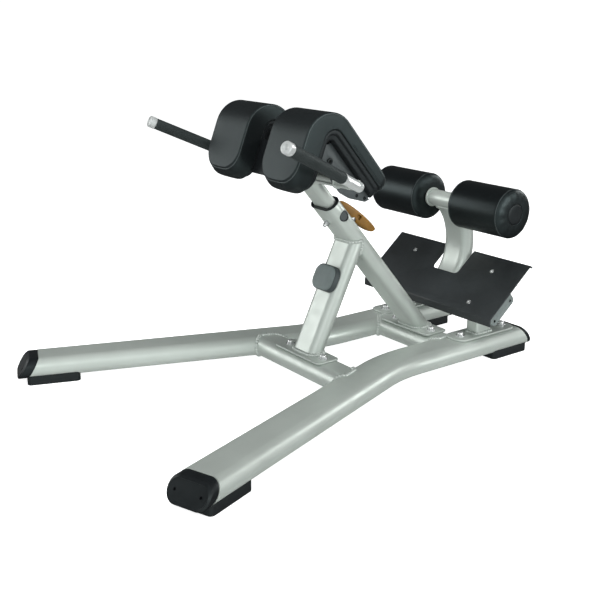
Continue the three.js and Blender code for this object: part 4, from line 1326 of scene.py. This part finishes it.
def make_board(name, side):
    """The moulded board under a pad, with a long rail and a groove down each side."""
    outer_height = THIGH_OUT - THIGH_THICK - GAP
    front = FACE_THICK + GAP
    label = f"pad_board_{name}"
    face = hook(front, outer_height, 0.0317, 0.008, THIGH_END + 0.004)
    back = hook(front + 0.016, 0.033, 0.014, 0.016, THIGH_END + 0.004)
    pairs = hook_stations(face, back, 0.005)
    low, high = PAD_IN + 0.004, PAD_OUT - 0.004
    thick = 0.027
    section = rounded([(low, 0.0, 0.002), (high, 0.0, 0.002), (high, 0.011, 0.003),
                       (high - 0.006, 0.0135, 0.003), (high - 0.006, thick, 0.004),
                       (low + 0.006, thick, 0.004), (low + 0.006, 0.0135, 0.003),
                       (low, 0.011, 0.003)], 18)
    centre, half = (low + high) / 2, (high - low) / 2
    runs = [0.0]
    for (point, _), (after, _) in zip(pairs, pairs[1:]):
        runs.append(runs[-1] + (after - point).length)
    rings = []
    for (outer, inner), run in zip(pairs, runs):
        narrow = 1 - (round_off(run + 0.004, 0.050) + round_off(runs[-1] - run + 0.002, 0.026)) / half
        rings.append([outer + X * (side * (centre + (p.x - centre) * narrow))
                      + (inner - outer) * (p.y / thick) for p in section])
    build(f"{label}_shell", loft(rings), BOARD, label, sharp=35)
    # A black tongue between the two pads: partly a bridge between the boards, partly painted shade in the
    # gap between the pads.
    corner = FACE_BOTTOM + FACE_BACK * (front + 0.001) + FACE_UP * 0.028 + X * (side * 0.0002)
    length, deep = 0.092, 0.009
    tongue = loft([[corner + X * (side * x) + FACE_UP * u + FACE_BACK * v
                    for u, v in ((0, 0), (length, 0), (length, deep), (0, deep))] for x in (0, 0.060)])
    bevel(build(f"{label}_tongue", tongue, BOARD, label, False), 0.0015, 3, 40)


def make_carriage():
    make_slide_tube()
    make_wing()
    for name, side in SIDES:
        make_handle(name, side)
        make_bracket(name, side)
        make_board(name, side)
    make_hip_pads()


# ---- footplate

def make_footplate():
    """The bent tread with its notch, on a shallow tray that two risers carry."""
    lean, thick, half = pi / 2 + TREAD_SLOPE, 0.004, 0.280
    lip = Vector((cos(lean), -sin(lean))) * 0.023
    lip_in = lip + Vector((sin(lean), cos(lean))) * thick
    under = thick * tan((pi - lean) / 2)
    outline = rounded([(lip.x, lip.y, 0.0012), (lip_in.x, lip_in.y, 0.0012), (under, -thick, 0.004),
                       (0.209, -thick, 0.003), (0.2115, -0.014, 0.0012), (0.2155, -0.014, 0.0012),
                       (0.213, 0, 0.006), (0, 0, 0.007)])
    shape = loft([[on_tread(x, p.x, p.y) for p in outline] for x in (-half, half)])
    tread = build("footplate_sheet", shape, TREAD_BLACK, "footplate")
    notch = rounded([(-0.054, 0.115, 0.015), (0.054, 0.115, 0.015), (0.054, 0.243, 0), (-0.054, 0.243, 0)])
    tools = [loft([[on_tread(p.x, p.y, out) for p in notch] for out in (-0.04, 0.02)])]
    screws = [(x, up) for x in (-0.168, 0.168) for up in (0.035, 0.158)]
    sink = [(0, -0.006), (0.0036, -0.006), (0.0036, -0.0032), (0.0074, 0.0002), (0.0074, 0.002), (0, 0.002)]
    tools += [turned(sink, on_tread(x, up, 0), TREAD_OFF, 40) for x, up in screws]
    cut(tread, *tools)
    bevel(tread, 0.0008, 2, 50)
    for k, (x, up) in enumerate(screws):
        profile = [(0, -0.0055), (0.0034, -0.0055), (0.0034, -0.0033), (0.0071, 0.0001), (0.0067, 0.0005),
                   (0, 0.0006)]
        screw = build(f"footplate_screw_{k + 1}", turned(profile, on_tread(x, up, 0), TREAD_OFF, 40),
                      CHROME, "footplate", False, 30)
        socket = prism(circle(0.0026, 6), on_tread(x, up, -0.0016), X, TREAD_UP, 0.01)
        cut(screw, socket, sharp=30)


def tray_outline(outset):
    top = -0.0043 + (0.005 if outset else 0)
    start, end, depth, radius = 0.0035, 0.112, 0.047, 0.014
    return rounded([(start + outset, top, 0), (start + outset, outset - depth, radius - outset),
                    (end - outset, outset - depth, radius - outset), (end - outset, top, 0)])


def make_tray():
    """A shallow tray under the tread, open at its top, with two holes through its ends."""
    half = 0.268
    solid, hollow = (loft([[on_tread(x, p.x, p.y) for p in tray_outline(wall)]
                           for x in (wall - half, half - wall)]) for wall in (0, WALL))
    tray = build("footplate_tray_shell", solid, TRAY_GREY, "footplate_tray")
    holes = [rod(0.0045, on_tread(-0.28, up, -0.033), on_tread(0.28, up, -0.033), 32)
             for up in (0.0175, 0.098)]
    cut(tray, hollow, *holes)
    bevel(tray, 0.0009, 2, 50)


def make_riser(name, side):
    """A rectangular tube from the leg up to the tray, cut to the tray's slope."""
    riser_y, tray_under = BEND_Y + 0.3605, -0.047
    outer, inner = (rectangle(0.045 - 2 * wall, 0.065 - 2 * wall, 0.008 - wall) for wall in (0, WALL))
    label = f"footplate_riser_{name}"

    def ends(outline):
        low = [Vector((side * LEG_X + p.x, riser_y + p.y, PLATE_TOP + GAP)) for p in outline]
        under = on_tread(0, 0, tray_under - GAP)
        high = [p + Z * ((under - p).dot(TREAD_OFF) / TREAD_OFF.z) for p in low]
        return low, high

    (low, high), (low_in, high_in) = ends(outer), ends(inner)
    build(f"{label}_tube", loft([low, high, high_in, low_in], wrap=True), SILVER, label, sharp=50)
    weld(f"{label}_foot_weld", low, label)
    weld(f"{label}_head_weld", high, label)


make_housing()
make_lever()
make_carriage()
make_footplate()
make_tray()
for name, side in SIDES:
    make_riser(name, side)


# ---- roller arm and rollers

ARM_CENTRE = Vector((0, BEND_Y + 0.261, 0.322))
ARM_RADIUS = 0.174


def arm_ring(angle, outline):
    out = Vector((0, cos(angle), sin(angle)))
    return [ARM_CENTRE + out * (ARM_RADIUS + p.y) + X * p.x for p in outline]


def onto_plane(ring, direction, point, normal):
    return [p + direction * ((point - p).dot(normal) / direction.dot(normal)) for p in ring]


def make_arm():
    """The bent oval tube that rises behind the footplate and carries the roller axle."""
    wall_point = on_tread(0, 0.1123, 0)
    outer, inner = tube_walls(*TUBE)
    axle = BVHTree.FromPolygons(*rod(0.0253, ROLLER - X * 0.08, ROLLER + X * 0.08, 96))
    top = atan2(ROLLER.z - ARM_CENTRE.z, ROLLER.y - ARM_CENTRE.y)
    first, last = radians(-34), top - radians(17)
    angles = [first + (last - first) * k / 36 for k in range(37)]

    def tangent(angle):
        return Vector((0, -sin(angle), cos(angle)))

    foot = onto_plane(arm_ring(first, outer), tangent(first), wall_point, TREAD_UP)
    head = coped(axle, arm_ring(last, outer), tangent(last))
    rings = [foot] + [arm_ring(a, outer) for a in angles] + [head]
    rings += [coped(axle, arm_ring(last, inner), tangent(last), 0.003)]
    rings += [arm_ring(a, inner) for a in reversed(angles)]
    rings += [onto_plane(arm_ring(first, inner), tangent(first), wall_point, TREAD_UP)]
    build("roller_arm_tube", loft(rings, wrap=True), SILVER, "roller_arm", sharp=50)
    weld("roller_arm_foot_weld", foot, "roller_arm")
    weld("roller_arm_head_weld", head, "roller_arm")


SHAFT_HOLE = 0.0128  # radius of what goes round the roller shaft


def make_axle():
    ring = [(SHAFT_HOLE, -0.056), (0.0240, -0.056), (0.0250, -0.055), (0.0250, 0.055), (0.0240, 0.056),
            (SHAFT_HOLE, 0.056), (SHAFT_HOLE, -0.056)]
    build("roller_cross_tube_body", turned(ring, ROLLER, X), SILVER, "roller_cross_tube", sharp=40)
    paint_node("roller_shaft", STEEL)
    for name, side in SIDES:
        flange = [(SHAFT_HOLE, 0.0563), (0.0285, 0.0563), (0.0295, 0.0573), (0.0295, 0.0610)]
        flange += arc(0.0265, 0.0610, 0.0030, 0, 90, 6) + [(SHAFT_HOLE, 0.0640), (SHAFT_HOLE, 0.0563)]
        build(f"axle_collar_{name}_ring", turned(flange, ROLLER, X * side), SILVER, f"axle_collar_{name}",
              sharp=30)


SEAM_IN, SEAM_OUT = 0.080, 0.263
ROLLER_RADIUS = 0.0718


def roller_profile():
    """The skin's half section as (radius, distance from the middle), and which points are held."""
    points, held = [], []

    def run(start, end, steps, hold=False):
        for k in range(steps):
            share = k / steps
            points.append((start[0] + (end[0] - start[0]) * share, start[1] + (end[1] - start[1]) * share))
            held.append(hold)

    def dome(seam, tip, flip):
        """From the seam over the rounded end to the bore, or back."""
        curve = []
        for k in range(1, 13):
            turn = pi / 2 * k / 12
            radius = tip[0] + (ROLLER_RADIUS - tip[0]) * cos(turn) ** 0.8
            along = seam + (tip[1] - seam) * sin(turn) ** 1.1
            curve.append((radius, along))
        for point in (curve[::-1] if flip else curve):
            points.append(point)
            held.append(False)

    run((0.0252, 0.0668), (0.0330, 0.0662), 3, True)
    dome(SEAM_IN, (0.0330, 0.0662), True)
    places = (SEAM_IN - 0.0010, SEAM_IN + 0.0015, SEAM_OUT - 0.0015, SEAM_OUT + 0.0010)
    for low, high, steps, hold in zip(places, places[1:], (2, 36, 2), (True, False, True)):
        run((ROLLER_RADIUS, low), (ROLLER_RADIUS, high), steps, hold)
    dome(SEAM_OUT, (0.0330, 0.2757), False)
    places = ((0.0330, 0.2757), (0.0303, 0.2757), (0.0303, 0.2707), (0.0252, 0.2707), (0.0252, 0.0668))
    for start, end, steps in zip(places, places[1:], (2, 3, 2, 24)):
        run(start, end, steps, True)
    return points, held


def pleat(piece):
    """Small gathers in the two end domes of the right roller, deepest just inside the seams."""
    for vertex in piece.data.vertices:
        offset = vertex.co - ROLLER
        along = offset.x
        radius = hypot(offset.y, offset.z)
        beyond = max(SEAM_IN - along, along - SEAM_OUT)
        if beyond <= 0.0005 or radius < 0.034:
            continue
        share = min(1.0, beyond / 0.003) * min(1.0, (radius - 0.034) / 0.02)
        turn = atan2(offset.z, offset.y)
        wave = sin(13 * turn) + 0.7 * sin(5 * turn + 0.8)
        outward_push = X if along > 0.17 else -X
        vertex.co += outward_push * (0.00025 * wave * share)


def make_rollers():
    """One roller is filled and sewn, then mirrored; each turns on its own hub."""
    count = 96
    points, held = roller_profile()
    shape = turned(points + points[:1], ROLLER, X, count)
    pins = [i * count + k for i, hold in enumerate(held) if hold for k in range(count)]
    skin = build("roller_pad_right_skin", shape, ROLLER_VINYL, "roller_pad_right", sharp=180)
    swell(skin, pins, 3.0, 0.0030)
    pleat(skin)
    made = {"skin": skin}
    lines = [laid(circle(ROLLER_RADIUS, count), ROLLER + X * along, *frame_of(X))
             for along in (SEAM_IN, SEAM_OUT)]
    tree = tree_of(skin)
    lines = [settle(tree, line) for line in lines]
    groove(skin, [line + line[:1] for line in lines], 0.004, 0.0012)
    tree = tree_of(skin)
    # The seams' lighter vinyl paints a highlight round each roller's seam.
    for kind, line in zip(("inner", "outer"), lines):
        made[f"seam_{kind}"] = build(f"roller_pad_right_seam_{kind}",
                                     bead(settle(tree, line, 0.0002), 0.0013, sides=8, pitch=0.0025),
                                     WELT_PAINTED_HIGHLIGHT, "roller_pad_right", False, 60)
    mirror_pad(made, "roller_pad")
    for name, side in SIDES:
        core = [(SHAFT_HOLE, 0.066), (0.0246, 0.066), (0.0246, 0.2712), (0.0292, 0.2712), (0.0298, 0.2735)]
        core += arc(0.0270, 0.2738, 0.0026, 0, 80, 6) + [(0.020, 0.2769), (0, 0.2772), (0, 0.2701),
                                                       (SHAFT_HOLE, 0.2701), (SHAFT_HOLE, 0.066)]
        build(f"roller_hub_{name}_core", turned(core, ROLLER, X * side), PLASTIC, f"roller_hub_{name}",
              sharp=40)


make_arm()
make_axle()
make_rollers()


# ---- floor and light

def make_stage():
    """A pale floor, faintly self-lit so that it stays as white as the background."""
    half = 9.0
    square = [(-half, -half, 0), (half, -half, 0), (half, half, 0), (-half, half, 0)]
    floor = placed("floor", mesh_of("floor", (square, [(0, 1, 2, 3)])))
    paint = Paint("floor_white", (0.86, 0.87, 0.87), 0.8, Specular_IOR_Level=0.1)
    paint.shader.inputs["Emission Color"].default_value = (1, 1, 1, 1)
    paint.shader.inputs["Emission Strength"].default_value = 0.82
    paint.color(paint.ramp(paint.noise(3, 2), ((0.3, (0.86, 0.87, 0.87)), (0.7, (0.88, 0.885, 0.885)))))
    floor.data.materials.append(paint.material)
    floor.visible_glossy = False


def area_light(name, place, target, size, power, glossy):
    data = bpy.data.lights.new(name, "AREA")
    data.shape = "RECTANGLE"
    data.size, data.size_y = size
    data.energy = power
    light = placed(name, data)
    aim = (Vector(target) - Vector(place)).to_track_quat("-Z", "Y")
    light.matrix_world = Matrix.Translation(place) @ aim.to_matrix().to_4x4()
    light.visible_glossy = glossy


TO_VIEWER = Vector((0.80, -0.57, 0.10)).normalized()
SOFTBOXES = (  # name, place, target, size, power, seen in glossy surfaces
    ("top", (0.2, -0.2, 3.0), (0, 0.1, 0.3), (2.4, 2.4), 88, False),
    ("viewer", (3.2, -2.4, 1.9), (0, 0, 0.4), (1.6, 0.8), 14, True),
    ("left", (-3.6, -3.0, 1.5), (0, -0.1, 0.5), (3.4, 2.4), 66, True),
    ("right", (3.6, 1.7, 0.9), (0, 0, 0.6), (2.2, 1.1), 42, True),
    ("rear", (0.8, 3.9, 1.5), (0, 0, 0.3), (1.8, 1.0), 30, True),
)


def make_light():
    """A room that is bright on the viewer's side, soft boxes, and a white background."""
    scene.view_settings.view_transform = "Standard"
    world = bpy.data.worlds.new("studio")
    scene.world = world
    world.use_nodes = True
    nodes, links = world.node_tree.nodes, world.node_tree.links
    room = nodes["Background"]
    place = nodes.new("ShaderNodeTexCoord")
    facing_dot = nodes.new("ShaderNodeVectorMath")
    facing_dot.operation = "DOT_PRODUCT"
    facing_dot.inputs[1].default_value = TO_VIEWER
    ramp = nodes.new("ShaderNodeValToRGB")
    links.new(place.outputs["Generated"], facing_dot.inputs[0])
    links.new(facing_dot.outputs["Value"], ramp.inputs["Fac"])
    levels = ((0.0, 0.09), (0.35, 0.32), (0.7, 0.85), (1.0, 0.95))
    set_stops(ramp.color_ramp, [(spot, (level * 0.95, level, level * 0.99)) for spot, level in levels])
    links.new(ramp.outputs["Color"], room.inputs["Color"])
    room.inputs["Strength"].default_value = 0.9
    white = nodes.new("ShaderNodeBackground")
    white.inputs["Color"].default_value = (1, 1, 1, 1)
    white.inputs["Strength"].default_value = 1.05
    seen = nodes.new("ShaderNodeLightPath")
    mix = nodes.new("ShaderNodeMixShader")
    links.new(seen.outputs["Is Camera Ray"], mix.inputs["Fac"])
    links.new(room.outputs["Background"], mix.inputs[1])
    links.new(white.outputs["Background"], mix.inputs[2])
    links.new(mix.outputs["Shader"], nodes["World Output"].inputs["Surface"])
    for name, *rest in SOFTBOXES:
        area_light(f"{name}_softbox", *rest)


make_stage()
make_light()
